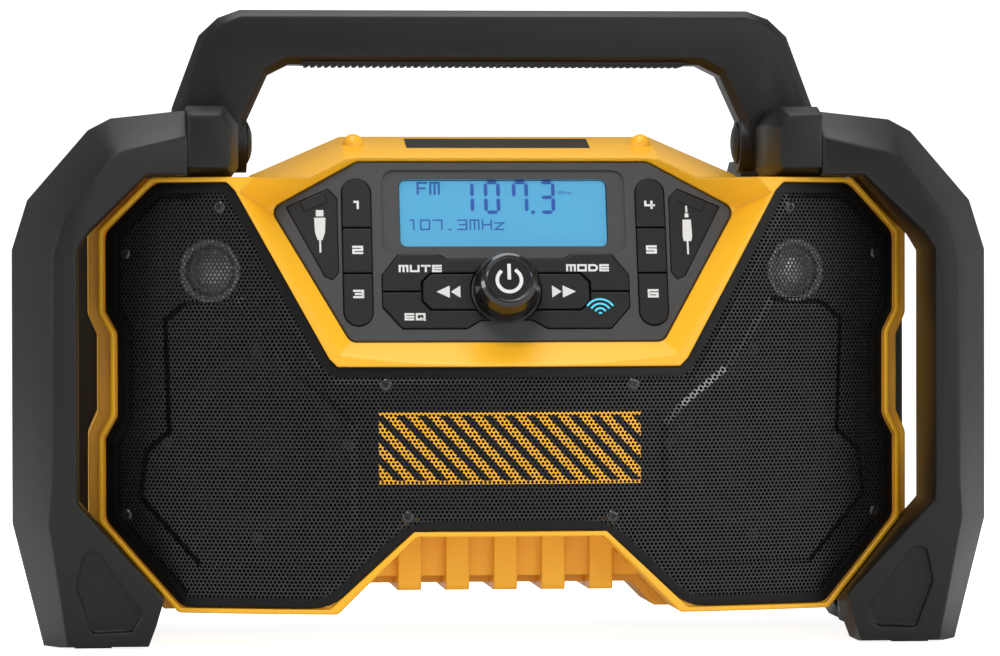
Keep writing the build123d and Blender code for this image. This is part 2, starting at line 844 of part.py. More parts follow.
def group_outline(side, margin):
    """Outline round the mute and EQ keys, or round the mode and pairing keys."""
    points = [
        (4.0, 13.9), (25.2, 13.9), (28.1, 16.1), (45.0, 16.1), (52.1, 6.8), (52.1, -7.3),
        (44.0, -16.6), (17.0, -16.6), (10.8, -12.8), (4.0, -12.8),
    ]
    points = inset(points, [-margin] * len(points))
    points = [(side * u, v) for u, v in points]
    return outline(points, 0.8) - Circle(knob_radius + knob_ring - margin)


def tune_outline(side, margin):
    points = [
        (4.0, tune_top_v), (tune_outer_u - tune_corner, tune_top_v),
        (tune_outer_u, tune_top_v - tune_corner), (tune_outer_u, tune_low_v + tune_corner),
        (tune_outer_u - tune_corner, tune_low_v), (4.0, tune_low_v),
    ]
    points = inset(points, [-margin] * len(points))
    points = [(side * u, v) for u, v in points]
    return outline(points, 0.8) - Circle(knob_radius + knob_ring - margin)


def cover_points(side, margin):
    points = [(92.0, 37.3), (74.4, 45.2), (70.8, 41.1), (70.6, 8.2), (73.2, 5.1), (76.2, 6.6)]
    points = inset(points, [-margin] * len(points))
    return [(side * u, v) for u, v in points]


def socket_spot(side):
    return (side * socket_u, socket_v)


def make_control_panel():
    plate = on_console(outline(console_outline(), panel_corner), -panel_thickness, 0)
    plate = chamfer(plate.faces().sort_by(Axis.Y)[0].outer_wire().edges(), 0.6)
    frame = Pos(0, (window_low_v + window_top_v) / 2) * RectangleRounded(
        2 * (window_half_width + window_frame),
        window_top_v - window_low_v + 2 * window_frame * 0.5,
        window_frame * 0.7,
    )
    plate -= on_console(frame, -window_recess, 1)
    plate -= on_console(window_sketch(0), -2 * panel_thickness, 1)
    for side in (-1, 1):
        plate -= on_console(preset_slot(side, move_gap), -2 * panel_thickness, 1)
        plate -= on_console(group_outline(side, move_gap), -2 * panel_thickness, 1)
        plate -= on_console(outline(cover_points(side, move_gap), 0.8), -cover_thickness, 1)
    plate -= on_console(Circle(shaft_radius + part_gap), -2 * panel_thickness, 1)
    usb = Pos(*socket_spot(-1)) * Rectangle(usb_width, usb_height)
    plate -= on_console(usb, -2 * panel_thickness, 1)
    plate -= on_console(Pos(*socket_spot(1)) * Circle(aux_bore_radius), -2 * panel_thickness, 1)
    for u, v in post_spots:
        plate += on_console(Pos(u, v) * Circle(post_radius), -board_depth, -panel_thickness)
        plate -= on_console(Pos(u, v) * Circle(screw_shank_radius), -board_depth, -window_recess - post_floor)
    return plate


def window_sketch(margin):
    low = window_low_v + margin
    high = window_top_v - margin
    half = window_half_width - margin
    return Pos(0, (low + high) / 2) * RectangleRounded(2 * half, high - low, 3.0)


def make_display():
    window = on_console(window_sketch(part_gap / 4), -window_recess - window_thickness, -window_recess)
    back = -window_recess - window_thickness
    module = on_console(window_sketch(part_gap), -board_depth, back)
    return window, module


def make_control_board():
    points = inset(console_outline(), [console_lip + part_gap] * 6)
    board = on_console(outline(points, panel_corner), -board_depth - board_thickness, -board_depth)
    for side in (-1, 1):
        u, v = socket_spot(side)
        cutout = Rectangle(socket_plate_width - 3, socket_plate_height - 3)
        board -= on_console(Pos(u, v) * cutout, -4 * board_depth, 1)
    board -= on_console(Circle(rotor_radius + part_gap), -4 * board_depth, 1)
    for u, v in post_spots:
        board -= on_console(Pos(u, v) * Circle(screw_shank_radius + part_gap / 2), -4 * board_depth, 1)
    return board


def make_key_mat():
    """Rubber mat under the keys: a strip below the window and a column beside each end of it."""
    high = window_low_v - 2 * part_gap
    low = panel_low_v + console_lip + 2 * part_gap
    sketch = Pos(0, (low + high) / 2) * Rectangle(2 * mat_half_width, high - low)
    for side in (-1, 1):
        column = Pos(side * (mat_half_width - mat_column / 2), (low + preset_edges_v[0]) / 2)
        sketch += column * Rectangle(mat_column, preset_edges_v[0] - low)
    sketch &= outline(inset(console_outline(), [console_lip + 2 * part_gap] * 6), panel_corner)
    sketch -= Circle(knob_radius)
    for u, v in post_spots:
        sketch -= Pos(u, v) * Circle(post_radius + part_gap)
    return on_console(sketch, -board_depth, -board_depth + mat_thickness)


def make_key(sketch):
    key = on_console(sketch, -panel_thickness, key_proud)
    top = key.faces().filter_by(console).sort_by(Axis.Y)[0]
    return chamfer(top.outer_wire().edges(), 0.3)


def make_keys():
    """All twelve keys by name."""
    keys = {}
    slit = key_slit / 2
    for side, first in ((-1, 1), (1, 4)):
        for row in range(3):
            top_v = preset_edges_v[row]
            low_v = preset_edges_v[row + 1]
            top_v = top_v - slit if row else top_v + 1
            low_v = low_v + slit if row < 2 else low_v - 1
            sketch = preset_slot(side, 0) & band(low_v, top_v)
            keys[f"preset_key_{first + row}"] = make_key(sketch)
    upper = band(group_split_v + slit, panel_top_v)
    lower = band(panel_low_v, group_split_v - slit)
    names = {-1: ("mute_key", "eq_key", "tune_down_key"), 1: ("mode_key", "pairing_key", "tune_up_key")}
    for side, (high_name, low_name, tune_name) in names.items():
        rest = group_outline(side, 0) - tune_outline(side, key_slit)
        keys[high_name] = make_key(largest(rest & upper))
        keys[low_name] = make_key(largest(rest & lower))
        keys[tune_name] = make_key(tune_outline(side, 0))
    return keys


def largest(sketch):
    return sketch.faces().sort_by(SortBy.AREA)[-1]


def make_cover(side):
    """Rubber flap, flush in the panel, with its hinge along the upper edge."""
    cover = on_console(outline(cover_points(side, 0), 0.8), -cover_thickness + 0.1, 0)
    (outer_u, outer_v), (inner_u, inner_v) = cover_points(side, 0)[:2]
    length = hypot(inner_u - outer_u, inner_v - outer_v)
    along = ((inner_u - outer_u) / length, (inner_v - outer_v) / length)
    across = (-along[1] * side, along[0] * side)
    if across[1] > 0:
        across = (-across[0], -across[1])
    strap = [
        (outer_u + along[0] * a + across[0] * b, outer_v + along[1] * a + across[1] * b)
        for a, b in ((6.0, 0.3), (17.0, 0.3), (17.0, 5.0), (6.0, 5.0))
    ]
    cover += on_console(outline(strap, 0.6), -0.5, cover_strap)
    if side < 0:
        plug = Pos(*socket_spot(side)) * Rectangle(usb_width - 1.6, usb_height - 1.6)
        cover += on_console(plug, -cover_thickness - 0.8, -cover_thickness + 0.2)
    return cover


def make_sockets():
    """USB socket with its tongue, and round aux socket, each with a plate soldered to the board."""
    back = -panel_thickness - socket_length
    board_back = -board_depth - board_thickness
    spot = Pos(*socket_spot(-1))
    usb = on_console(spot * Rectangle(usb_width + 1, usb_height + 1), back, -panel_thickness)
    usb += on_console(spot * Rectangle(socket_plate_width, socket_plate_height), board_back - 1, board_back)
    tongue = Pos(-1.0, 0) * Rectangle(usb_tongue, usb_height - 2)
    hollow = spot * (Rectangle(usb_width - usb_wall, usb_height - usb_wall) - tongue)
    usb -= on_console(hollow, back + 1, 1)
    spot = Pos(*socket_spot(1))
    aux = on_console(spot * Circle(aux_radius), back, -panel_thickness)
    aux += on_console(spot * Rectangle(socket_plate_width, socket_plate_height), board_back - 1, board_back)
    aux -= on_console(spot * Circle(aux_bore_radius), back - 1, 1)
    return usb, aux


def make_knob():
    base = knob_lift
    top = knob_lift + knob_height
    profile = Polyline(
        (shaft_radius, base + 1.0), (knob_radius - 1.6, base + 1.0), (knob_radius - 1.6, base),
        (knob_radius - 0.6, base), (knob_radius, base + 1.2), (knob_radius, base + 6.0),
        (knob_radius - 0.6, base + 9.0), (knob_face_radius + 1.4, top - 1.2), (knob_face_radius, top),
        (knob_face_radius - 0.8, top), (knob_face_radius - 1.2, top - 0.3), (0.0, top - 0.3),
        (0.0, base + knob_bore_depth), (shaft_radius, base + knob_bore_depth), close=True,
    )
    return console * revolved(profile)


def make_encoder():
    shaft = on_console(Circle(shaft_radius), -shaft_tail, knob_lift + knob_bore_depth)
    ring = Circle(rotor_radius) - Circle(shaft_radius + fit_gap)
    rotor = on_console(ring, -rotor_back, -rotor_front)
    front = -board_depth - board_thickness
    body = on_console(Rectangle(encoder_size, encoder_size), front - encoder_depth, front)
    body -= on_console(Circle(rotor_radius + fit_gap), front - encoder_depth + 0.5, 1)
    body -= on_console(Circle(shaft_radius + part_gap), front - 2 * encoder_depth, 1)
    return shaft, rotor, body


def make_inner_screws():
    """The identical screws that hold the boards, the dock and the woofers."""
    back = -board_depth - board_thickness
    planes = [console * Pos(u, v, back) * Rot(180, 0, 0) for u, v in post_spots]
    board_y = y_at(rear_face_depth - bay_depth - wall - amp_post_length - board_thickness)
    planes += [Plane(origin=(x, board_y, z), z_dir=(0, -1, 0)) for x, z in amp_spots()]
    dock_y = y_at(rear_face_depth - bay_depth + dock_thickness)
    planes += [Plane(origin=(x, dock_y, z), z_dir=(0, 1, 0)) for x, z in dock_spots()]
    planes += speaker_screw_planes(1) + speaker_screw_planes(-1)
    return [plane * small_screw() for plane in planes]


def small_screw():
    head = extrude(Circle(screw_head_radius), amount=screw_head_height)
    shank = Pos(0, 0, -inner_screw_length) * extrude(Circle(screw_shank_radius), amount=inner_screw_length)
    return head + shank


# ---- rear fittings
def amp_spots():
    return [
        (x, z)
        for x in (amp_screw_inset - amp_half_width, amp_half_width - amp_screw_inset)
        for z in (amp_low_z + amp_screw_inset, amp_top_z - amp_screw_inset)
    ]


def dock_spots():
    half = bay_half_width - dock_margin - dock_screw_inset
    top = rear_top - 3 * wall
    return [(x, z) for x in (-half, half) for z in (bay_floor + dock_screw_inset, top - dock_screw_inset)]


def make_amplifier():
    back = rear_face_depth - bay_depth - wall - amp_post_length
    board = box(
        (-amp_half_width, y_at(back - board_thickness), amp_low_z),
        (amp_half_width, y_at(back), amp_top_z),
    )
    for x, z in amp_spots():
        board -= rod((x, y_at(back), z), (0, -1, 0), screw_shank_radius + part_gap / 2, board_thickness)
    front = back - board_thickness
    low_z = amp_low_z + sink_inset
    top_z = amp_top_z - sink_inset
    base = box((-sink_half_width, y_at(front - sink_base), low_z), (sink_half_width, y_at(front), top_z))
    for index in range(sink_fin_count):
        x = (index - (sink_fin_count - 1) / 2) * sink_fin_pitch
        base += box(
            (x - sink_fin_thickness / 2, y_at(front - sink_fin_height), low_z),
            (x + sink_fin_thickness / 2, y_at(front - sink_base + 1), top_z),
        )
    return board, base


def make_dock():
    """Dock plate with two lipped rails and a terminal block, and its blade contacts."""
    front = rear_face_depth - bay_depth
    plate = box(
        (-bay_half_width + dock_margin, y_at(front), bay_floor),
        (bay_half_width - dock_margin, y_at(front + dock_thickness), rear_top - 3 * wall),
    )
    surface = front + dock_thickness
    for x, z in dock_spots():
        plate -= rod((x, y_at(front), z), (0, 1, 0), screw_shank_radius + part_gap / 2, dock_thickness)
    for side in (-1, 1):
        inner = side * rail_half_gap
        outer = side * (rail_half_gap + rail_width)
        lip = side * (rail_half_gap - rail_lip)
        rail_low = bay_floor + rail_low_inset
        rail_top = rear_top - rail_top_inset
        low, high = sorted((inner, outer))
        plate += box((low, y_at(surface), rail_low), (high, y_at(surface + rail_height), rail_top))
        low, high = sorted((lip, outer))
        plate += box(
            (low, y_at(surface + rail_height - rail_lip_thickness), rail_low),
            (high, y_at(surface + rail_height), rail_top),
        )
    block_low = bay_floor + terminal_rise
    block = box(
        (-terminal_width / 2, y_at(surface), block_low),
        (terminal_width / 2, y_at(surface + terminal_depth), block_low + terminal_height),
    )
    block_top = block_low + terminal_height
    contacts = []
    for index in range(contact_count):
        x = (index - (contact_count - 1) / 2) * contact_pitch
        blade = box(
            (x - contact_thickness / 2, y_at(surface + 1), block_top - contact_root),
            (x + contact_thickness / 2, y_at(surface + 1 + contact_width), block_top + contact_reach),
        )
        block -= blade
        contacts.append(blade)
    return plate + block, contacts


def make_power_jack():
    start = (jack_x, y_at(rear_face_depth - jack_cover_thickness), jack_z)
    jack = rod(start, (0, -1, 0), jack_body_radius, jack_length)
    jack -= rod(start, (0, -1, 0), jack_bore_radius, jack_bore_length)
    return jack


def make_housing_screw(x, z):
    seat = (x, y_at(rear_seat_depth), z)
    head = rod(seat, (0, 1, 0), rear_screw_head, 3.0)
    length = rear_seat_depth - parting_depth + rear_boss_length - 2 * wall
    shank = rod(seat, (0, -1, 0), rear_screw_shank, length)
    socket = rod((x, y_at(rear_seat_depth + 1.5), z), (0, 1, 0), 1.6, 3.0)
    return head + shank - socket


# ---- bumper cage, right side
def low_edge(gap):
    """Two ends of the shell's slanted lower edge, moved outwards by gap."""
    length = hypot(lobe_low_corner_x, lobe_low_corner_z)
    normal = (lobe_low_corner_z / length, -lobe_low_corner_x / length)
    low = (lobe_half_width - lobe_low_corner_x, lobe_bottom)
    high = (lobe_half_width, lobe_bottom + lobe_low_corner_z)
    return [(x + gap * normal[0], z + gap * normal[1]) for x, z in (low, high)]


def bar_points():
    """Front view of a front bar with its foot, and how far each edge slopes in towards the front."""
    outer = half_width
    inner = outer - bar_width
    low, high = low_edge(part_gap)
    slope = (high[1] - low[1]) / (high[0] - low[0])
    heel = (low[0] + heel_reach, low[1] + heel_reach * slope)
    knee = (inner, high[1] + (inner - high[0]) * slope)
    corner_sum = lobe_half_width + lobe_top - lobe_top_corner + arm_corner_gap * 2 ** 0.5
    return [
        (arm_end_x, arm_top, "outer"),
        (outer - 41.5, arm_top - 3.5, "outer"),
        (outer - 32, arm_top - 8.5, "outer"),
        (outer - 6.5, arm_top - 38, "outer"),
        (outer, arm_top - 59, "outer"),
        (outer, lobe_bottom + lobe_low_corner_z, "outer"),
        (outer - foot_lean, sole_height, "sole"),
        (foot_half, sole_height, "heel"),
        (foot_half - heel_width, sole_height + heel_height, "heel"),
        (heel[0], heel[1], "slant"),
        (knee[0], knee[1], "inner"),
        (inner, arm_top - 59.5, "inner"),
        (corner_sum - arm_top + 52.5, arm_top - 52.5, "inner"),
        (corner_sum - arm_low, arm_low, "inner"),
        (arm_end_x, arm_low, "end"),
    ]


def make_front_bar():
    """Right front bar: a C-shaped bumper with bevelled faces, its foot and the rail behind the foot."""
    rows = bar_points()
    points = [(x, z) for x, z, _ in rows]
    kinds = [kind for _, _, kind in rows]
    sections = []
    for depth, outer, inner, sole in (
        (bar_back, 0.0, 0.0, 0.0),
        (bar_side_depth, 0.0, 0.0, 0.0),
        (bar_edge_depth, bar_edge_inset, 0.0, 0.0),
        (bar_front, bar_front_inset, bar_inner_inset, bar_sole_inset),
    ):
        amounts = {"outer": outer, "inner": inner, "slant": inner / 2, "heel": sole, "sole": sole, "end": 0.0}
        sections.append((depth, inset(points, [amounts[kind] for kind in kinds])))
    bar = lofted(sections)
    bar -= slanted_cut(arm_end_x, half_width - bar_width, bar_front + arm_slope_back, bar_front)
    bar -= foot_cut()
    pocket = outline(foot_pocket_points(), 2.5)
    bar -= extrude(tilted_foot_face(foot_pocket) * pocket, amount=3 * foot_pocket)
    bar += make_foot_rail()
    bar -= pad_solid(1)
    for plane in (top_joints(1)[-1], foot_joint(1)):
        bar -= cage_screw_thread(plane)
    return bar


def slanted_cut(x_near, x_far, depth_near, depth_far):
    """Wedge in front of a vertical plane that runs from one depth to another along X."""
    points = [
        (x_near - 1, y_at(depth_near + (depth_near - depth_far) / (x_far - x_near))),
        (x_far, y_at(depth_far)),
        (x_far, y_at(depth_far - 2 * bar_back)),
        (x_near - 1, y_at(depth_far - 2 * bar_back)),
    ]
    return extrude(outline(points), amount=2 * overall_height)


def foot_cut():
    """Wedge that slopes the front of the foot back towards the ground."""
    points = [
        (y_at(bar_front), foot_slope_start),
        (y_at(bar_front + foot_slope_back), 0.0),
        (y_at(bar_front - bar_back), -1.0),
        (y_at(bar_front - bar_back), foot_slope_start),
    ]
    return extrude(Plane.YZ * outline(points), amount=overall_width)


def tilted_foot_face(inset_depth):
    """Plane on the sloped front of the foot, sunk by inset_depth, with its normal outwards."""
    angle = (foot_slope_back, foot_slope_start)
    length = hypot(*angle)
    normal = (0, -angle[1] / length, -angle[0] / length)
    origin = (0, y_at(bar_front + foot_slope_back) - normal[1] * inset_depth, -normal[2] * inset_depth)
    return Plane(origin=origin, x_dir=(1, 0, 0), z_dir=normal)


def foot_pocket_points():
    reach = [(30.0, 42.0), (36.0, 42.5), (54.0, 15.5), (50.0, 7.5), (33.0, 6.8), (26.5, 27.5)]
    return [(half_width - inward, z) for inward, z in reach]


def rear_low_edge(gap):
    length = hypot(rear_low_corner_x, rear_low_corner_z)
    normal = (rear_low_corner_z / length, -rear_low_corner_x / length)
    low = (rear_half_width - rear_low_corner_x, rear_bottom)
    high = (rear_half_width, rear_bottom + rear_low_corner_z)
    return [(x + gap * normal[0], z + gap * normal[1]) for x, z in (low, high)]


def make_foot_rail():
    low, high = rear_low_edge(part_gap)
    slope = (high[1] - low[1]) / (high[0] - low[0])
    start = rail_half_inner - 2.0
    points = [
        (rail_half_inner, sole_height),
        (half_width - 22, sole_height),
        (half_width - 12, sole_height + 22),
        (half_width - 22, sole_height + 40),
        (high[0] - 4, high[1] - 4 * slope),
        (start, low[1] + (start - low[0]) * slope),
    ]
    return prism(outline(points), bar_back - 10, rear_step_depth - part_gap)


def make_top_bracket():
    """Right top bracket: the block at the end of the front bar, with the lug for the handle's pin."""
    points = [
        (arm_end_x - part_gap / 4, bracket_top), (bracket_inner_x + 6, bracket_top),
        (bracket_inner_x, bracket_top - 8), (bracket_inner_x, lobe_top + 4),
        (bracket_inner_x + 3, lobe_top), (arm_end_x - part_gap / 4, lobe_top),
    ]
    bevel = [bracket_bevel, bracket_bevel, bracket_bevel, bracket_bevel, bracket_bevel, 0.0]
    block = lofted([
        (bracket_back, points),
        (bracket_bevel_depth, points),
        (bracket_front, inset(points, bevel)),
    ])
    lug_low = lug_x - lug_half_width
    lug_high = lug_x + lug_half_width
    arm = box(
        (lug_low, y_at(bracket_back - 2), lobe_top), (lug_high, y_at(pivot_depth), pivot_z + lug_radius)
    )
    eye = rod((lug_low, y_at(pivot_depth), pivot_z), (1, 0, 0), lug_radius, 2 * lug_half_width)
    bracket = block + arm + eye
    bracket -= rod((lug_low - 1, y_at(pivot_depth), pivot_z), (1, 0, 0), pin_radius, 2 * lug_half_width + 2)
    bracket -= prism(front_outline(), -1, parting_depth) & behind_bow(0)
    for plane in top_joints(1)[:-1]:
        bracket -= cage_screw_thread(plane)
    return bracket


def make_rear_bar():
    """Right rear bar: it sits in the rear shell's step and ends in the rear foot."""
    step = inset(rear_points(), [rear_step - part_gap] * len(rear_points()))
    upper, side_high, side_low, low = step[0], step[1], step[2], step[3]
    slope = (side_low[1] - low[1]) / (side_low[0] - low[0])
    toe = (rear_foot_inner - 4, side_low[1] + (rear_foot_inner - 4 - side_low[0]) * slope)
    points = [
        (rear_bar_end_x, rear_bar_top),
        (rear_bar_outer - 33, rear_bar_top),
        (rear_bar_outer, rear_bar_top - 32),
        (rear_bar_outer, sole_height + 30),
        (rear_bar_outer - 7, sole_height),
        (rear_foot_inner, sole_height),
        (rear_foot_inner - 4, sole_height + 8),
        toe,
        side_low,
        side_high,
        upper,
        (rear_bar_end_x, upper[1]),
    ]
    bevel = [rear_bevel] * 5 + [0.0] * 7
    bar = lofted([
        (rear_step_depth + part_gap, points),
        (overall_depth - 2 * rear_bevel, points),
        (overall_depth, inset(points, bevel)),
    ])
    bar -= pad_solid(-1)
    for plane in rear_joints(1):
        bar -= cage_screw_thread(plane)
    return bar


def pad_solid(which):
    """Right pad under the front foot (which = 1) or the rear foot (which = -1)."""
    if which > 0:
        low = (rail_half_inner + pad_margin, y_at(bar_edge_depth + pad_margin), 0)
        high = (half_width - 22 - pad_margin, y_at(3 * bar_edge_depth), pad_height)
    else:
        low = (rear_foot_inner + pad_margin, y_at(rear_step_depth + 2 * pad_margin), 0)
        high = (rear_bar_outer - 7 - pad_margin, y_at(overall_depth - 3 * pad_margin), pad_height)
    return box(low, high)


# ---- screws of the cage: each plane lies on a shell's outside and looks out into the cage
def top_joints(side):
    """Where the top bracket and the arm of the front bar are screwed down."""
    spots = [(bracket_screw_x, depth) for depth in bracket_screw_depths] + [(arm_screw_x, bar_screw_depth)]
    return [Plane(origin=(side * x, y_at(depth), lobe_top), z_dir=(0, 0, 1)) for x, depth in spots]


def foot_joint(side):
    low, high = low_edge(0)
    origin = (side * (low[0] + high[0]) / 2, y_at(bar_screw_depth), (low[1] + high[1]) / 2)
    return Plane(origin=origin, x_dir=(0, 1, 0), z_dir=(side * (high[1] - low[1]), 0, low[0] - high[0]))


def rear_joints(side):
    x = side * (rear_half_width - rear_step)
    y = y_at((rear_step_depth + rear_face_depth) / 2)
    return [Plane(origin=(x, y, z), x_dir=(0, 1, 0), z_dir=(side, 0, 0)) for z in rear_joint_heights]


def cage_screw_hole(plane):
    return plane * (Pos(0, 0, -3 * wall) * extrude(Circle(cage_screw_shank + part_gap / 2), amount=4 * wall))


def cage_screw_thread(plane):
    return plane * extrude(Circle(cage_screw_shank), amount=cage_screw_reach + 1)


def make_cage_screw(plane):
    head = Pos(0, 0, -wall - 2.5) * extrude(Circle(cage_screw_head), amount=2.5)
    shank = Pos(0, 0, -wall) * extrude(Circle(cage_screw_shank), amount=wall + cage_screw_reach)
    return plane * (head + shank)


# ---- handle
def handle_points():
    """Front view of the handle: an arch with its legs ending at the pivot height."""
    outer = [
        (handle_top_half, overall_height),
        (handle_corner_half - 8, overall_height - 3.5),
        (handle_corner_half, handle_corner_z),
        (handle_outer_half, handle_shoulder_z),
        (handle_outer_half, pivot_z),
        (handle_inner_half, pivot_z),
        (handle_inner_half, pivot_z + cap_radius + part_gap),
        (handle_neck_half, grip_low - grip_corner * 0.5),
        (handle_neck_half - grip_corner, grip_low),
    ]
    return symmetric(outer)


def make_handle():
    points = handle_points()
    count = len(points)
    bevel = [handle_bevel] * count
    for index in (4, count - 6):
        bevel[index] = 0.0
    half = hub_radius
    front = pivot_depth - half
    back = pivot_depth + half
    narrow = inset(points, bevel)
    arch = lofted([
        (front, narrow), (front + handle_bevel_depth, points),
        (back - handle_bevel_depth, points), (back, narrow),
    ])
    for side in (1, -1):
        start = (side * handle_inner_half, y_at(pivot_depth), pivot_z)
        arch += rod(start, (side, 0, 0), hub_radius, handle_outer_half - handle_inner_half)
        low = side * (lug_x - fork_half)
        slot = rod((low, y_at(pivot_depth), pivot_z), (side, 0, 0), lug_radius + lug_gap, 2 * fork_half)
        low_x, high_x = sorted((low, side * (lug_x + fork_half)))
        slot += box(
            (low_x, y_at(front - 1), pivot_z - 2 * hub_radius),
            (high_x, y_at(pivot_depth), pivot_z + lug_radius + lug_gap),
        )
        slot += box(
            (low_x, y_at(front - 1), pivot_z - 2 * hub_radius),
            (high_x, y_at(back + 1), pivot_z),
        )
        arch -= slot
        bore = rod(start, (side, 0, 0), pin_radius + fit_gap, handle_outer_half - handle_inner_half)
        arch -= bore
    arch -= insert_solid(0.0)
    return arch


def insert_solid(proud):
    """Grip insert let into the underside of the handle."""
    return box(
        (-insert_half, y_at(pivot_depth - insert_depth / 2), grip_low - proud),
        (insert_half, y_at(pivot_depth + insert_depth / 2), grip_low + insert_thickness),
    )


def make_grip_insert():
    insert = insert_solid(0.0)
    count = int(2 * insert_half / insert_rib_pitch)
    for index in range(count):
        x = (index - (count - 1) / 2) * insert_rib_pitch
        insert += box(
            (x - insert_rib_width / 2, y_at(pivot_depth - insert_depth / 2), grip_low - insert_proud),
            (x + insert_rib_width / 2, y_at(pivot_depth + insert_depth / 2), grip_low),
        )
    return insert


def make_pin(side):
    start = (side * (handle_inner_half + pin_inset), y_at(pivot_depth), pivot_z)
    return rod(start, (side, 0, 0), pin_radius, handle_outer_half - handle_inner_half - 2 * pin_inset)


def make_hub_caps(side):
    """Domed caps over both ends of one pivot pin."""
    caps = []
    for x, way in ((handle_inner_half, -side), (handle_outer_half, side)):
        cap = revolved(Polyline(
            (0.0, 0.0), (cap_radius, 0.0), (cap_radius, 0.6), (cap_radius - 2.5, cap_dome - 0.6),
            (cap_radius - 5.0, cap_dome), (0.0, cap_dome), close=True,
        ))
        plane = Plane(origin=(side * x, y_at(pivot_depth), pivot_z), x_dir=(0, 1, 0), z_dir=(way, 0, 0))
        caps.append(plane * cap)
    return caps


# ---- the whole radio, node by node
def build_nodes():
    nodes = {
        "front_housing": make_front_housing(),
        "rear_housing": make_rear_housing(),
        "housing_gasket": make_gasket(),
        "speaker_grille": make_grille(),
        "speaker_baffle": make_baffle(),
        "control_panel": make_control_panel(),
        "control_board": make_control_board(),
        "key_mat": make_key_mat(),
        "knob": make_knob(),
        "power_jack": make_power_jack(),
        "power_jack_cover": make_power_jack_cover(),
        "usb_cover": make_cover(-1),
        "aux_cover": make_cover(1),
        "handle": make_handle(),
        "handle_grip_insert": make_grip_insert(),
    }
    nodes["display_window"], nodes["display_module"] = make_display()
    nodes["knob_shaft"], nodes["encoder_rotor"], nodes["encoder_body"] = make_encoder()
    nodes["usb_socket"], nodes["aux_socket"] = make_sockets()
    nodes["amplifier_board"], nodes["heat_sink"] = make_amplifier()
    nodes["battery_dock"], contacts = make_dock()
    nodes["battery_contacts"] = Compound(children=contacts)
    magnets = []
    domes = []
    for side, name in ((-1, "left"), (1, "right")):
        frame, cone, magnet = make_woofer(side)
        nodes[f"{name}_woofer_frame"] = frame
        nodes[f"{name}_woofer_cone"] = cone
        magnets.append(magnet)
        nodes[f"{name}_tweeter"], dome = make_tweeter(side)
        domes.append(dome)
    nodes["woofer_magnets"] = Compound(children=magnets)
    nodes["tweeter_domes"] = Compound(children=domes)
    nodes["right_front_bar"] = make_front_bar()
    nodes["left_front_bar"] = mirrored(nodes["right_front_bar"])
    nodes["right_rear_bar"] = make_rear_bar()
    nodes["left_rear_bar"] = mirrored(nodes["right_rear_bar"])
    nodes["right_top_bracket"] = make_top_bracket()
    nodes["left_top_bracket"] = mirrored(nodes["right_top_bracket"])
    pads = [pad_solid(which) for which in (1, -1)]
    nodes["foot_pads"] = Compound(children=pads + [mirrored(pad) for pad in pads])
    nodes["handle_pins"] = Compound(children=[make_pin(side) for side in (1, -1)])
    nodes["handle_hub_caps"] = Compound(children=make_hub_caps(1) + make_hub_caps(-1))
    spots = [(side * x, z) for x, z in grille_screw_spots for side in (-1, 1)]
    nodes["grille_screws"] = Compound(children=[make_grille_screw(x, z) for x, z in spots])
    spots = [(side * x, z) for x, z in rear_screw_spots for side in (-1, 1)]
    nodes["housing_screws"] = Compound(children=[make_housing_screw(x, z) for x, z in spots])
    nodes["inner_screws"] = Compound(children=make_inner_screws())
    joints = []
    for side in (1, -1):
        joints += top_joints(side) + [foot_joint(side)] + rear_joints(side)
    nodes["cage_screws"] = Compound(children=[make_cage_screw(plane) for plane in joints])
    nodes.update(make_keys())
    return nodes


os.makedirs("parts", exist_ok=True)
for node_name, node_shape in build_nodes().items():
    export_step(node_shape, os.path.join("parts", node_name + ".step"))
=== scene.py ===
import bmesh
import bpy
import json
from math import asin, ceil, cos, hypot, pi, radians, sin, tan
from mathutils import Matrix, Vector


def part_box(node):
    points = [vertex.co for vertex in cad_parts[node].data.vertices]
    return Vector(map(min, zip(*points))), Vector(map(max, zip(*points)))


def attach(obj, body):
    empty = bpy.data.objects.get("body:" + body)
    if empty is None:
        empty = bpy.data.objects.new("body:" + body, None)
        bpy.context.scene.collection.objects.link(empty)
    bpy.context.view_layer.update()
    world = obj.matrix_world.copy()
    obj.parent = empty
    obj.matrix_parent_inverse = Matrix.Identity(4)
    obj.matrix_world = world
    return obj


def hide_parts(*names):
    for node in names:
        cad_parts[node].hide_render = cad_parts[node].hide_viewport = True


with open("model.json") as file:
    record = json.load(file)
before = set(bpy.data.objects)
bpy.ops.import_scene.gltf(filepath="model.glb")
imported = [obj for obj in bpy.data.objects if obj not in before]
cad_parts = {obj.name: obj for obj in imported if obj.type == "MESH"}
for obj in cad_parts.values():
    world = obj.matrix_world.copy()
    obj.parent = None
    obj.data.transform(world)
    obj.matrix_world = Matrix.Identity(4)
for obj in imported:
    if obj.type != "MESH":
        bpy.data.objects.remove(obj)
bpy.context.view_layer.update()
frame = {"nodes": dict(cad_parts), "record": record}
nodes = frame["nodes"]
scene = bpy.context.scene
mm = 0.001
print("frame loaded:", len(nodes), "nodes")


def linear(red, green, blue):
    # display values 0 to 255 turned into linear colour
    channels = []
    for value in (red, green, blue):
        share = value / 255
        channels.append(share / 12.92 if share <= 0.04045 else ((share + 0.055) / 1.055) ** 2.4)
    return (*channels, 1.0)


def addNode(tree, kind, sockets=None, **settings):
    node = tree.nodes.new(kind)
    for key, value in settings.items():
        setattr(node, key, value)
    for key, value in (sockets or {}).items():
        if isinstance(value, bpy.types.NodeSocket):
            tree.links.new(value, node.inputs[key])
        else:
            node.inputs[key].default_value = value
    return node


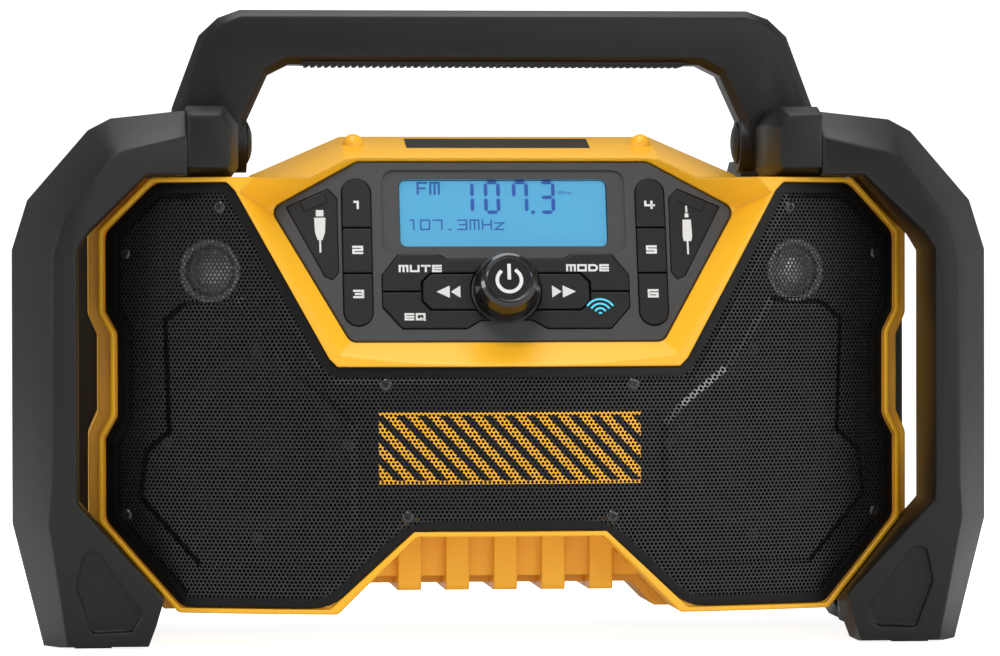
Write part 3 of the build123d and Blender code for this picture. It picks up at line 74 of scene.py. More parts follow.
def newGroup(name, kind, inputs, outputs):
    tree = bpy.data.node_groups.new(name, kind)
    identifiers = {}
    for label, socketType, value in inputs:
        socket = tree.interface.new_socket(name=label, in_out="INPUT", socket_type=socketType)
        identifiers[label] = socket.identifier
        if value is not None:
            socket.default_value = value
    for label, socketType in outputs:
        tree.interface.new_socket(name=label, in_out="OUTPUT", socket_type=socketType)
    return tree, tree.nodes.new("NodeGroupInput"), tree.nodes.new("NodeGroupOutput"), identifiers


# finishes
grainLook = {"detail": 3.0, "roughness": 0.6, "depth": 0.0004}
driftLook = {"scale": 45.0, "detail": 4.0}
edgeSamples = 6


def makeSurfaceGroup():
    # moulded grain over softened edges, with a little drift in shade and gloss
    tree, given, result, _ = newGroup(
        "mouldedSurface", "ShaderNodeTree",
        [
            ("Color", "NodeSocketColor", (0.5, 0.5, 0.5, 1.0)),
            ("Roughness", "NodeSocketFloat", 0.5),
            ("Grain Scale", "NodeSocketFloat", 1500.0),
            ("Grain Height", "NodeSocketFloat", 0.2),
            ("Drift", "NodeSocketFloat", 0.05),
            ("Edge Radius", "NodeSocketFloat", 0.0006),
        ],
        [("Color", "NodeSocketColor"), ("Roughness", "NodeSocketFloat"), ("Normal", "NodeSocketVector")],
    )
    place = addNode(tree, "ShaderNodeTexCoord").outputs["Object"]
    grain = addNode(tree, "ShaderNodeTexNoise", {
        "Vector": place, "Scale": given.outputs["Grain Scale"],
        "Detail": grainLook["detail"], "Roughness": grainLook["roughness"],
    })
    soft = addNode(tree, "ShaderNodeTexNoise", {
        "Vector": place, "Scale": driftLook["scale"], "Detail": driftLook["detail"],
    })
    edge = addNode(
        tree, "ShaderNodeBevel", {"Radius": given.outputs["Edge Radius"]}, samples=edgeSamples
    )
    bump = addNode(tree, "ShaderNodeBump", {
        "Strength": given.outputs["Grain Height"], "Distance": grainLook["depth"],
        "Height": grain.outputs["Fac"], "Normal": edge.outputs["Normal"],
    })

    def maths(operation, a, b):
        return addNode(tree, "ShaderNodeMath", {0: a, 1: b}, operation=operation).outputs[0]

    drift = maths("MULTIPLY", maths("SUBTRACT", soft.outputs["Fac"], 0.5), given.outputs["Drift"])
    gloss = maths("ADD", given.outputs["Roughness"], drift)
    tint = addNode(tree, "ShaderNodeVectorMath", {0: given.outputs["Color"]}, operation="SCALE")
    tree.links.new(maths("ADD", drift, 1.0), tint.inputs["Scale"])
    tree.links.new(tint.outputs[0], result.inputs["Color"])
    tree.links.new(gloss, result.inputs["Roughness"])
    tree.links.new(bump.outputs["Normal"], result.inputs["Normal"])
    return tree


surfaceGroup = makeSurfaceGroup()


def newMaterial(name):
    material = bpy.data.materials.new(name)
    material.use_nodes = True
    tree = material.node_tree
    shader = tree.nodes["Principled BSDF"]
    return material, tree, shader


def moulded(
    name, colour, roughness, grain, height, drift, edge, metallic=0.0, specular=0.5, coat=0.0
):
    # grain is the noise's scale, height its strength, edge a radius in millimetres
    material, tree, shader = newMaterial(name)
    surface = addNode(tree, "ShaderNodeGroup", {
        "Color": colour, "Roughness": roughness, "Grain Scale": grain,
        "Grain Height": height, "Drift": drift, "Edge Radius": edge * mm,
    }, node_tree=surfaceGroup)
    for label, target in (("Color", "Base Color"), ("Roughness", "Roughness"), ("Normal", "Normal")):
        tree.links.new(surface.outputs[label], shader.inputs[target])
    shader.inputs["Metallic"].default_value = metallic
    shader.inputs["Specular IOR Level"].default_value = specular
    shader.inputs["Coat Weight"].default_value = coat
    material.diffuse_color = colour
    return material


finishes = {
    "yellow_plastic": moulded("yellowPlastic", linear(247, 182, 34), 0.38, 2200, 0.12, 0.05, 1.6),
    "black_plastic": moulded("blackPlastic", linear(17, 17, 17), 0.40, 1800, 0.25, 0.10, 1.2, specular=0.35),
    "soft_black": moulded("softBlack", linear(17, 17, 16), 0.38, 2600, 0.3, 0.08, 2.2, specular=0.35),
    "grip_rubber": moulded("gripRubber", linear(20, 20, 21), 0.7, 3000, 0.4, 0.08, 0.4),
    "steel": moulded("steel", linear(150, 150, 152), 0.35, 900, 0.05, 0.08, 0.3, metallic=1.0),
    "grille_steel": moulded("grilleSteel", linear(8, 8, 9), 0.42, 900, 0.05, 0.10, 0.1, specular=0.25),
    "dark_screws": moulded("darkScrews", linear(70, 70, 72), 0.3, 900, 0.05, 0.10, 0.2, metallic=0.9),
    "panel_plastic": moulded("panelPlastic", linear(52, 52, 53), 0.44, 2600, 0.3, 0.06, 0.5),
    "key_rubber": moulded("keyRubber", linear(12, 12, 12), 0.4, 2600, 0.2, 0.08, 0.6, specular=0.35),
    "knob_plastic": moulded("knobPlastic", linear(9, 9, 9), 0.24, 2600, 0.05, 0.06, 0.8, coat=0.4),
    "display": moulded("displayFrame", linear(24, 25, 27), 0.5, 1500, 0.1, 0.05, 0.2),
    "board": moulded("board", linear(22, 72, 44), 0.45, 1500, 0.05, 0.10, 0.1),
    "aluminium": moulded("aluminium", linear(176, 178, 180), 0.4, 900, 0.05, 0.06, 0.2, metallic=1.0),
    "socket_metal": moulded("socketMetal", linear(180, 181, 184), 0.28, 900, 0.03, 0.05, 0.1, metallic=1.0),
    "contacts": moulded("contacts", linear(214, 178, 96), 0.3, 900, 0.03, 0.05, 0.1, metallic=1.0),
    "magnet": moulded("magnet", linear(54, 54, 58), 0.55, 900, 0.15, 0.08, 0.3, metallic=0.4),
    "dome": moulded("dome", linear(236, 236, 238), 0.3, 900, 0.02, 0.04, 0.2, metallic=0.7),
    "cone": moulded("cone", linear(10, 10, 11), 0.7, 1200, 0.3, 0.06, 0.3),
}


def makeWindow():
    material, tree, shader = newMaterial("window")
    shader.inputs["Base Color"].default_value = (0.9, 0.95, 1.0, 1.0)
    shader.inputs["Roughness"].default_value = 0.03
    shader.inputs["Transmission Weight"].default_value = 1.0
    shader.inputs["IOR"].default_value = 1.2
    return material


def makeGlow(name, colour, strength):
    material, tree, shader = newMaterial(name)
    shader.inputs["Base Color"].default_value = colour
    shader.inputs["Roughness"].default_value = 0.5
    shader.inputs["Emission Color"].default_value = colour
    shader.inputs["Emission Strength"].default_value = strength
    material.diffuse_color = colour
    return material


finishes["window"] = makeWindow()
# near-white, barely metallic tweeter ring: partly the metal's own silver, partly painted highlight
tweeterSilverAndHighlight = moulded("tweeterSilverAndHighlight", linear(252, 252, 252), 0.34, 900, 0.02, 0.04, 0.2, metallic=0.25)
# near-black with little sheen: on the parts behind the sheet it is painted shade, darker than their own
# finish
blackAndPaintedShade = moulded("blackAndPaintedShade", linear(7, 7, 7), 0.75, 1200, 0.2, 0.05, 0.1, specular=0.2)
printWhite = moulded("printWhite", linear(214, 215, 214), 0.5, 1500, 0.05, 0.03, 0.1)
# cyan print that glows a little of itself: a painted glow, as print is no lamp
glowingCyanPrint = makeGlow("glowingCyanPrint", linear(64, 190, 226), 0.35)
screenBlue = makeGlow("screenBlue", linear(76, 154, 188), 0.45)
screenInk = makeGlow("screenInk", linear(30, 74, 150), 0.42)

slotOf = {row["node"]: row["material_slot"] for row in frame["record"]["subparts"]}
for nodeName, obj in nodes.items():
    material = finishes[slotOf[nodeName]]
    obj.data.materials.clear()
    obj.data.materials.append(material)
# parts behind the sheet are darkened for the shade inside: the woofers' screws take the dark screw finish
# and the baffle, tweeters and woofer frames the near-black, all painted shade
nodes["inner_screws"].data.materials[0] = finishes["dark_screws"]
behindGrille = [
    "speaker_baffle", "left_tweeter", "right_tweeter", "left_woofer_frame", "right_woofer_frame",
]
for nodeName in behindGrille:
    nodes[nodeName].data.materials[0] = blackAndPaintedShade
print("finishes:", len(finishes))


# pieces: each stands at the origin, with its place in its mesh
def meshPiece(name, points, faces, material, body, matrix=None, smooth=False):
    mesh = bpy.data.meshes.new(name)
    placed = [matrix @ Vector(p) for p in points] if matrix else [Vector(p) for p in points]
    mesh.from_pydata([tuple(p) for p in placed], [], faces)
    if smooth:
        mesh.polygons.foreach_set("use_smooth", [True] * len(mesh.polygons))
    return meshObject(name, mesh, material, body)


def meshObject(name, mesh, material, body):
    obj = bpy.data.objects.new(name, mesh)
    scene.collection.objects.link(obj)
    mesh.materials.clear()
    mesh.materials.append(material)
    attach(obj, body)
    return obj


def plainMesh(obj, name):
    # what the modifiers give, as a plain mesh
    graph = bpy.context.evaluated_depsgraph_get()
    mesh = bpy.data.meshes.new_from_object(obj.evaluated_get(graph))
    mesh.name = name
    return mesh


bodyOf = {}
for bodyName, members in frame["record"]["behaviour"]["bodies"].items():
    for member in members:
        bodyOf[member] = bodyName


softEdges = {
    "merge": 0.004,
    "flatAngle": 0.6,
    "angle": 28,
    "shadeAngle": 34,
    "segments": 3,
    "widths": {"front_bar": 1.8, "rear_bar": 1.4, "top_bracket": 1.4, "handle": 1.8},
}


def softened(nodeName, width):
    # a copy of the solid with its edges rounded, shown in its place
    mesh = nodes[nodeName].data.copy()
    work = bmesh.new()
    work.from_mesh(mesh)
    bmesh.ops.remove_doubles(work, verts=work.verts, dist=softEdges["merge"] * mm)
    flat = radians(softEdges["flatAngle"])
    bmesh.ops.dissolve_limit(work, angle_limit=flat, verts=work.verts, edges=work.edges)
    work.to_mesh(mesh)
    work.free()
    draft = bpy.data.objects.new(nodeName + "Draft", mesh)
    scene.collection.objects.link(draft)
    bevel = draft.modifiers.new("edges", "BEVEL")
    bevel.width = width * mm
    bevel.segments = softEdges["segments"]
    bevel.limit_method = "ANGLE"
    bevel.angle_limit = radians(softEdges["angle"])
    bevel.use_clamp_overlap = True
    rounded = plainMesh(draft, nodeName + "Rounded")
    bpy.data.objects.remove(draft)
    rounded.polygons.foreach_set("use_smooth", [True] * len(rounded.polygons))
    rounded.set_sharp_from_angle(angle=radians(softEdges["shadeAngle"]))
    slotName = slotOf[nodeName]
    piece = meshObject(nodeName + "Shell", rounded, finishes[slotName], bodyOf[nodeName])
    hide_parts(nodeName)


for side in ("left", "right"):
    for part in ("front_bar", "rear_bar", "top_bracket"):
        softened(f"{side}_{part}", softEdges["widths"][part])
softened("handle", softEdges["widths"]["handle"])
print("rounded pieces made")


# the bowed sheet over the speakers
bow = {"radius": 360.0, "front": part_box("front_housing")[0].y / mm}
sheet = {
    "recess": 1.2,
    "thickness": 0.8,
    "pitch": 1.79,
    "row": 1.55,
    "hole": 0.66,
    "bottom": 17.5,
    "height": 180.0,
    "cuts": [-125.0, -72.0, 0.0, 72.0, 125.0],
    "plateau": 1.0,
    "plateauInset": 7.0,
    "field": 3.0,
    "slope": 2.6,
}
border = {
    "width": 4.2,
    "overlap": 0.9,
    "lift": 0.05,
    "edgeShare": 0.12,
    "outerDrop": 0.5,
    "edgeDrop": 0.25,
    "innerDrop": 0.6,
}
seal = {"width": 5.6, "gap": 0.08, "depth": 3.4}
stripStep = 4.0
sheetCorners = [  # x, z and the corner's radius, which is below zero in a hollow corner
    (72.1, 118.1, -2.0), (75.6, 121.6, -2.0), (114.5, 192.1, 3.0), (118.0, 195.6, 3.0),
    (148.0, 195.6, 6.6), (168.8, 174.8, 6.6), (168.8, 141.6, 2.1), (163.8, 132.6, -6.9),
    (163.8, 96.9, -6.9), (168.8, 87.9, 2.1), (168.8, 53.4, 6.6), (136.9, 17.4, 6.6),
    (75.4, 17.4, 19.6), (40.5, 49.9, -24.4),
]
wooferField = [
    (135.0, 146.3), (111.2, 147.7), (90.5, 118.4), (71.3, 103.0), (63.7, 94.6), (63.7, 53.5),
    (77.5, 35.0), (129.4, 34.3), (154.8, 63.4), (152.0, 83.4), (142.7, 91.7), (144.2, 138.5),
]


def mirroredOutline(half):
    return half + [(-x, z) for x, z in reversed(half)]


def turnOf(points):
    following = points[1:] + points[:1]
    return 1 if sum(a[0] * b[1] - b[0] * a[1] for a, b in zip(points, following)) > 0 else -1


def insetOutline(points, distance):
    count = len(points)
    side = turnOf(points)
    lines = []
    for (x0, z0), (x1, z1) in zip(points, points[1:] + points[:1]):
        length = hypot(x1 - x0, z1 - z0)
        nx, nz = -side * (z1 - z0) / length, side * (x1 - x0) / length
        lines.append((nx, nz, nx * x0 + nz * z0 + distance))
    moved = []
    for index in range(count):
        ax, az, a = lines[index - 1]
        bx, bz, b = lines[index]
        det = ax * bz - az * bx
        moved.append(((a * bz - b * az) / det, (ax * b - bx * a) / det))
    return moved


def roundedOutline(points, radii, steps):
    # every corner becomes an arc of the same number of steps
    result = []
    count = len(points)
    for index in range(count):
        before = Vector(points[index - 1])
        here = Vector(points[index])
        after = Vector(points[(index + 1) % count])
        toBefore, toAfter = before - here, after - here
        half = toBefore.angle(toAfter) / 2
        cut = min(radii[index] / tan(half), toBefore.length * 0.48, toAfter.length * 0.48)
        start = here + toBefore.normalized() * cut
        end = here + toAfter.normalized() * cut
        for step in range(steps + 1):
            share = step / steps
            first = start.lerp(here, share)
            second = here.lerp(end, share)
            result.append(tuple(first.lerp(second, share)))
    return result


def sheetPoints():
    return mirroredOutline([(x, z) for x, z, _ in sheetCorners])


def sheetRing(distance, steps=4):
    # the sheet's rounded outline, moved inwards
    radii = [radius for _, _, radius in sheetCorners]
    moved = [max(0.8, radius - distance) if radius > 0 else distance - radius for radius in radii]
    ring = roundedOutline(insetOutline(sheetPoints(), distance), moved + moved[::-1], steps)
    return flattened(ring)


def alongBow(x):
    return bow["radius"] * asin(x / bow["radius"])


def flattened(points):
    return [(alongBow(x), z) for x, z in points]


def onBow(s, z, height):
    # a place on the bowed front, in metres; height is outwards from the front's own surface
    angle = s / bow["radius"]
    reach = bow["radius"] + height
    return (reach * sin(angle) * mm, (bow["front"] + bow["radius"] - reach * cos(angle)) * mm, z * mm)


def outwards(x):
    angle = asin(x / bow["radius"])
    return (sin(angle), -cos(angle), 0)


def stripBetween(outer, inner, step):
    # rows of points across a strip, with long stretches divided so that it can bend
    pairs = []
    count = len(outer)
    for index in range(count):
        a, b = Vector(outer[index]), Vector(outer[(index + 1) % count])
        c, d = Vector(inner[index]), Vector(inner[(index + 1) % count])
        parts = max(1, ceil(abs(b.x - a.x) / step))
        for part in range(parts):
            share = part / parts
            pairs.append((a.lerp(b, share), c.lerp(d, share)))
    return pairs


def closedStrip(rows):
    # quads between neighbouring rows of a closed ring
    width = len(rows[0])
    points = [point for row in rows for point in row]
    faces = []
    for index in range(len(rows)):
        following = (index + 1) % len(rows)
        for place in range(width - 1):
            a = index * width + place
            b = following * width + place
            faces.append((a, b, b + 1, a + 1))
    return points, faces


def makeBorder():
    front = -sheet["recess"] + border["lift"]
    rows = []
    for a, b in stripBetween(sheetRing(0.0), sheetRing(border["width"]), stripStep):
        edge = a.lerp(b, border["edgeShare"])
        rows.append([
            onBow(a.x, a.y, front - border["outerDrop"]),
            onBow(a.x, a.y, front - border["edgeDrop"]),
            onBow(edge.x, edge.y, front),
            onBow(b.x, b.y, front),
            onBow(b.x, b.y, front - border["innerDrop"]),
        ])
    points, faces = closedStrip(rows)
    steel = finishes["grille_steel"]
    piece = meshPiece("grilleBorder", points, faces, steel, "radio", smooth=True)
    piece.data.set_sharp_from_angle(angle=radians(40))
    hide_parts("speaker_grille")


makeBorder()


def makeSeal():
    # dark foam strip between the sheet and the ledge that it lies on
    front = -sheet["recess"] - sheet["thickness"] - seal["gap"]
    rows = []
    for a, b in stripBetween(sheetRing(0.0), sheetRing(seal["width"]), stripStep):
        rows.append([
            onBow(a.x, a.y, front), onBow(b.x, b.y, front), onBow(b.x, b.y, front - seal["depth"]),
        ])
    points, faces = closedStrip(rows)
    meshPiece("grilleSeal", points, faces, blackAndPaintedShade, "radio")


makeSeal()


def helperObject(name, points, faces):
    # a mesh that only Geometry Nodes read
    mesh = bpy.data.meshes.new(name)
    mesh.from_pydata(points, [], faces)
    obj = bpy.data.objects.new(name, mesh)
    scene.collection.objects.link(obj)
    return obj


def formObject():
    # the pressed form of the unrolled sheet, X along the bow and -Y outwards:
    # a plateau inside the border and a field over each woofer
    points = [(-0.2, 0, 0), (0.2, 0, 0), (0.2, 0, 0.22), (-0.2, 0, 0.22)]
    faces = [(0, 1, 2, 3)]

    def raised(ring, low, high):
        foot = flattened(ring)
        top = flattened(insetOutline(ring, sheet["slope"]))
        count = len(ring)
        start = len(points)
        points.extend((s * mm, -low * mm, z * mm) for s, z in foot)
        points.extend((s * mm, -high * mm, z * mm) for s, z in top)
        for index in range(count):
            a, b = start + index, start + (index + 1) % count
            faces.append((a, b, b + count, a + count))
        faces.append(tuple(range(start + count, start + 2 * count)))

    raised(insetOutline(sheetPoints(), sheet["plateauInset"] - sheet["slope"]), 0.0, sheet["plateau"])
    for side in (-1, 1):
        raised([(side * x, z) for x, z in wooferField], sheet["plateau"], sheet["field"])
    return helperObject("sheetForm", points, faces)


def cellObject():
    # one six-sided cell of the sheet with a round hole, its walls running back
    corners = 12
    turn = 2 * pi / corners
    side = sheet["pitch"] / 2
    points, faces = [], []

    def ring(depth, reaches):
        for index in range(corners):
            angle, reach = (index + 1) * turn, reaches[index % 2] * mm
            points.append((reach * cos(angle), depth * mm, reach * sin(angle)))

    ring(0.0, (side / cos(turn), side))
    ring(0.0, (sheet["hole"], sheet["hole"]))
    ring(sheet["thickness"], (sheet["hole"], sheet["hole"]))
    for index in range(corners):
        following = (index + 1) % corners
        faces.append((index, following, corners + following, corners + index))
        faces.append(tuple(corners + place for place in (
            index, following, corners + following, corners + index,
        )))
    return helperObject("sheetCell", points, faces)


def perforationTree():
    tree, given, result, identifiers = newGroup(
        "perforatedSheet", "GeometryNodeTree",
        [
            ("Area", "NodeSocketObject", None),
            ("Form", "NodeSocketObject", None),
            ("Cell", "NodeSocketObject", None),
            ("Columns", "NodeSocketInt", 10),
            ("Rows", "NodeSocketInt", 10),
            ("Pitch", "NodeSocketFloat", 0.00179),
            ("Row Step", "NodeSocketFloat", 0.00155),
            ("Low", "NodeSocketFloat", 0.0),
            ("Bottom", "NodeSocketFloat", 0.015),
            ("Bow Radius", "NodeSocketFloat", 0.36),
            ("Front", "NodeSocketFloat", -0.1),
            ("Recess", "NodeSocketFloat", 0.0012),
            ("Material", "NodeSocketMaterial", None),
        ],
        [("Geometry", "NodeSocketGeometry")],
    )
    take = given.outputs

    def maths(operation, a, b=0.0):
        return addNode(tree, "ShaderNodeMath", {0: a, 1: b}, operation=operation).outputs[0]

    index = addNode(tree, "GeometryNodeInputIndex").outputs[0]
    count = maths("MULTIPLY", take["Columns"], take["Rows"])
    row = maths("FLOOR", maths("DIVIDE", maths("ADD", index, 0.5), take["Columns"]))
    column = maths("SUBTRACT", index, maths("MULTIPLY", row, take["Columns"]))
    shift = maths("MULTIPLY", maths("MODULO", row, 2.0), 0.5)
    across = maths("ADD", maths("MULTIPLY", maths("ADD", column, shift), take["Pitch"]), take["Low"])
    height = maths("ADD", maths("MULTIPLY", row, take["Row Step"]), take["Bottom"])
    spot = addNode(tree, "ShaderNodeCombineXYZ", {0: across, 1: 0.0, 2: height}).outputs[0]
    cloud = addNode(tree, "GeometryNodePoints", {"Count": count, "Position": spot}).outputs[0]

    def cast(target):
        here = addNode(tree, "GeometryNodeInputPosition").outputs[0]
        parts = addNode(tree, "ShaderNodeSeparateXYZ", {0: here}).outputs
        source = addNode(tree, "ShaderNodeCombineXYZ", {0: parts[0], 1: -0.05, 2: parts[2]}).outputs[0]
        info = addNode(tree, "GeometryNodeObjectInfo", {"Object": target}).outputs["Geometry"]
        ray = addNode(tree, "GeometryNodeRaycast", {
            "Target Geometry": info, "Source Position": source,
            "Ray Direction": (0.0, 1.0, 0.0), "Ray Length": 0.2,
        })
        return ray.outputs, parts

    hit, _ = cast(take["Area"])
    outside = addNode(tree, "FunctionNodeBooleanMath", {0: hit["Is Hit"]}, operation="NOT").outputs[0]
    kept = addNode(
        tree, "GeometryNodeDeleteGeometry", {"Geometry": cloud, "Selection": outside}, domain="POINT"
    ).outputs[0]
    cell = addNode(tree, "GeometryNodeObjectInfo", {"Object": take["Cell"], "As Instance": True})
    cells = addNode(
        tree, "GeometryNodeInstanceOnPoints", {"Points": kept, "Instance": cell.outputs["Geometry"]}
    ).outputs[0]
    real = addNode(tree, "GeometryNodeRealizeInstances", {"Geometry": cells}).outputs[0]
    hit, parts = cast(take["Form"])
    form = addNode(tree, "ShaderNodeSeparateXYZ", {0: hit["Hit Position"]}).outputs[1]
    depth = maths("ADD", maths("ADD", parts[1], form), take["Recess"])
    reach = maths("SUBTRACT", take["Bow Radius"], depth)
    angle = maths("DIVIDE", parts[0], take["Bow Radius"])
    centre = maths("ADD", take["Front"], take["Bow Radius"])
    bentX = maths("MULTIPLY", reach, maths("SINE", angle))
    bentY = maths("SUBTRACT", centre, maths("MULTIPLY", reach, maths("COSINE", angle)))
    bent = addNode(tree, "ShaderNodeCombineXYZ", {0: bentX, 1: bentY, 2: parts[2]}).outputs[0]
    shaped = addNode(tree, "GeometryNodeSetPosition", {"Geometry": real, "Position": bent}).outputs[0]
    painted = addNode(
        tree, "GeometryNodeSetMaterial", {"Geometry": shaped, "Material": take["Material"]}
    ).outputs[0]
    tree.links.new(painted, result.inputs["Geometry"])
    return tree, identifiers


stripe = {
    "halfWidth": 55.0,
    "middle": 84.5,
    "halfHeight": 15.0,
    "rim": 1.4,
    "pitch": 9.0,
    "share": 0.55,
    "colour": linear(240, 176, 40),
}


def perforatedMaterial():
    # black paint with a plain striped band printed across the middle
    material = moulded("perforatedSteel", linear(22, 22, 23), 0.30, 900, 0.05, 0.08, 0.1, specular=0.6)
    tree = material.node_tree
    shader = tree.nodes["Principled BSDF"]
    base = shader.inputs["Base Color"].links[0].from_socket
    place = addNode(tree, "ShaderNodeTexCoord").outputs["Object"]
    parts = addNode(tree, "ShaderNodeSeparateXYZ", {0: place}).outputs

    def maths(operation, a, b=0.0):
        return addNode(tree, "ShaderNodeMath", {0: a, 1: b}, operation=operation).outputs[0]

    fromMiddle = maths("ABSOLUTE", maths("SUBTRACT", parts[2], stripe["middle"] * mm))
    inside = maths("LESS_THAN", maths("ABSOLUTE", parts[0]), stripe["halfWidth"] * mm)
    within = maths("LESS_THAN", fromMiddle, stripe["halfHeight"] * mm)
    slanted = maths("DIVIDE", maths("ADD", parts[0], parts[2]), stripe["pitch"] * mm)
    bars = maths("LESS_THAN", maths("FRACT", slanted), stripe["share"])
    rim = maths("GREATER_THAN", fromMiddle, (stripe["halfHeight"] - stripe["rim"]) * mm)
    paint = maths("MULTIPLY", maths("MULTIPLY", inside, within), maths("MAXIMUM", bars, rim))
    mix = addNode(tree, "ShaderNodeMix", data_type="RGBA")
    tree.links.new(paint, mix.inputs["Factor"])
    tree.links.new(base, mix.inputs[6])
    mix.inputs[7].default_value = stripe["colour"]
    tree.links.new(mix.outputs[2], shader.inputs["Base Color"])
    return material


def makePerforations():
    tree, identifiers = perforationTree()
    material = perforatedMaterial()
    form = formObject()
    cell = cellObject()
    ring = sheetRing(border["width"] - border["overlap"], 3)
    corners = [(s * mm, 0.0, z * mm) for s, z in ring]
    area = helperObject("sheetArea", corners, [tuple(range(len(ring)))])
    edge = alongBow(max(x for x, _, _ in sheetCorners))
    starts = [round(cut / sheet["pitch"]) for cut in [-edge, *sheet["cuts"], edge]]
    rows = ceil(sheet["height"] / sheet["row"])
    total = 0
    for number, (first, last) in enumerate(zip(starts[:-1], starts[1:])):
        draft = bpy.data.objects.new("perforationDraft", bpy.data.meshes.new("perforationDraft"))
        scene.collection.objects.link(draft)
        modifier = draft.modifiers.new("perforations", "NODES")
        modifier.node_group = tree
        settings = {
            "Area": area, "Form": form, "Cell": cell, "Columns": last - first, "Rows": rows,
            "Pitch": sheet["pitch"] * mm, "Row Step": sheet["row"] * mm,
            "Low": first * sheet["pitch"] * mm, "Bottom": sheet["bottom"] * mm,
            "Bow Radius": bow["radius"] * mm, "Front": bow["front"] * mm,
            "Recess": sheet["recess"] * mm, "Material": material,
        }
        for label, value in settings.items():
            modifier[identifiers[label]] = value
        mesh = plainMesh(draft, f"perforations{number}")
        bpy.data.objects.remove(draft)
        total += len(mesh.polygons)
        mesh.polygons.foreach_set("use_smooth", [False] * len(mesh.polygons))
        meshObject(f"grillePerforations{number}", mesh, material, "radio")
    for helper in (area, form, cell):
        bpy.data.objects.remove(helper)
    print("perforated sheet:", total, "faces")


makePerforations()


# screws of the grille
grilleScrew = {
    "spots": [(120.9, 185.3), (160.2, 166.0), (52.2, 111.0), (43.0, 55.7), (159.8, 55.6)],
    "profile": [(2.6, 0.0), (2.6, 0.75), (2.35, 1.1), (1.7, 1.35)],
    "recess": [1.3, 0.95, 0.5, 0.95],
    "recessDepth": 0.9,
    "taper": 0.8,
    "steps": 16,
    "lift": 0.02,
    "seed": 4,
}


def screwObject():
    # a pan head with a cross recess
    steps = grilleScrew["steps"]
    cross = grilleScrew["recess"]
    height = grilleScrew["profile"][-1][1]
    rings = [([radius] * 4, rise) for radius, rise in grilleScrew["profile"]]
    rings.append((cross, height))
    floor = height - grilleScrew["recessDepth"]
    rings.append(([reach * grilleScrew["taper"] for reach in cross], floor))
    points, faces = [], []
    for reaches, rise in rings:
        for index in range(steps):
            angle = 2 * pi * index / steps
            reach = reaches[index % 4]
            points.append((reach * cos(angle) * mm, reach * sin(angle) * mm, rise * mm))
    for ring in range(len(rings) - 1):
        for index in range(steps):
            a, b = ring * steps + index, ring * steps + (index + 1) % steps
            faces.append((a, b, b + steps, a + steps))
    last = (len(rings) - 1) * steps
    faces.append(tuple(range(last, last + steps)))
    return helperObject("screwTemplate", points, faces)


def fastenerTree():
    tree, given, result, identifiers = newGroup(
        "fasteners", "GeometryNodeTree",
        [
            ("Spots", "NodeSocketObject", None),
            ("Fastener", "NodeSocketObject", None),
            ("Seed", "NodeSocketInt", 4),
            ("Material", "NodeSocketMaterial", None),
        ],
        [("Geometry", "NodeSocketGeometry")],
    )
    take = given.outputs
    spots = addNode(tree, "GeometryNodeObjectInfo", {"Object": take["Spots"]}).outputs["Geometry"]
    model = addNode(
        tree, "GeometryNodeObjectInfo", {"Object": take["Fastener"], "As Instance": True}
    ).outputs["Geometry"]
    way = addNode(
        tree, "GeometryNodeInputNamedAttribute", {"Name": "way"}, data_type="FLOAT_VECTOR"
    )
    aligned = addNode(
        tree, "FunctionNodeAlignRotationToVector", {"Vector": way.outputs["Attribute"]}, axis="Z"
    )
    placed = addNode(tree, "GeometryNodeInstanceOnPoints", {
        "Points": spots, "Instance": model, "Rotation": aligned.outputs[0],
    }).outputs[0]
    angle = addNode(
        tree, "FunctionNodeRandomValue", {"Max": 3.1, "Seed": take["Seed"]}, data_type="FLOAT"
    )
    spin = addNode(tree, "ShaderNodeCombineXYZ", {2: angle.outputs["Value"]}).outputs[0]
    spun = addNode(
        tree, "GeometryNodeRotateInstances", {"Instances": placed, "Rotation": spin}
    ).outputs[0]
    real = addNode(tree, "GeometryNodeRealizeInstances", {"Geometry": spun}).outputs[0]
    painted = addNode(
        tree, "GeometryNodeSetMaterial", {"Geometry": real, "Material": take["Material"]}
    ).outputs[0]
    tree.links.new(painted, result.inputs["Geometry"])
    return tree, identifiers


fastenerGroup, fastenerInputs = fastenerTree()


def fasteners(name, template, places, material, body):
    # places: pairs of a point in metres and the way the head looks
    mesh = bpy.data.meshes.new(name + "Spots")
    mesh.from_pydata([place for place, _ in places], [], [])
    way = mesh.attributes.new("way", "FLOAT_VECTOR", "POINT")
    for index, (_, direction) in enumerate(places):
        way.data[index].vector = direction
    spots = bpy.data.objects.new(name + "Spots", mesh)
    draft = bpy.data.objects.new(name + "Draft", bpy.data.meshes.new(name + "Draft"))
    scene.collection.objects.link(spots)
    scene.collection.objects.link(draft)
    modifier = draft.modifiers.new("fasteners", "NODES")
    modifier.node_group = fastenerGroup
    settings = {
        "Spots": spots, "Fastener": template, "Seed": grilleScrew["seed"], "Material": material,
    }
    for label, value in settings.items():
        modifier[fastenerInputs[label]] = value
    result = plainMesh(draft, name)
    bpy.data.objects.remove(draft)
    bpy.data.objects.remove(spots)
    result.polygons.foreach_set("use_smooth", [True] * len(result.polygons))
    result.set_sharp_from_angle(angle=radians(35))
    return meshObject(name, result, material, body)


screwTemplate = screwObject()
screwPlaces = []
for x, z in grilleScrew["spots"]:
    for side in (-1, 1):
        seat = onBow(alongBow(side * x), z, -sheet["recess"] + grilleScrew["lift"])
        screwPlaces.append((seat, outwards(side * x)))
grilleHeads = fasteners(
    "grilleScrewHeads", screwTemplate, screwPlaces, finishes["dark_screws"], "radio"
)
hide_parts("grille_screws")
bpy.data.objects.remove(screwTemplate)
print("screws:", len(screwPlaces))


# bright plates of the tweeters, their near-white partly painted highlight, and the strip on the crown
tweeter = {
    "x": 127.3,
    "z": 158.6,
    "seat": 10.4,
    "steps": 48,
    "profile": [(10.9, 1.6), (11.2, 2.6), (12.4, 3.1), (13.4, 2.5), (13.5, 2.0)],
}


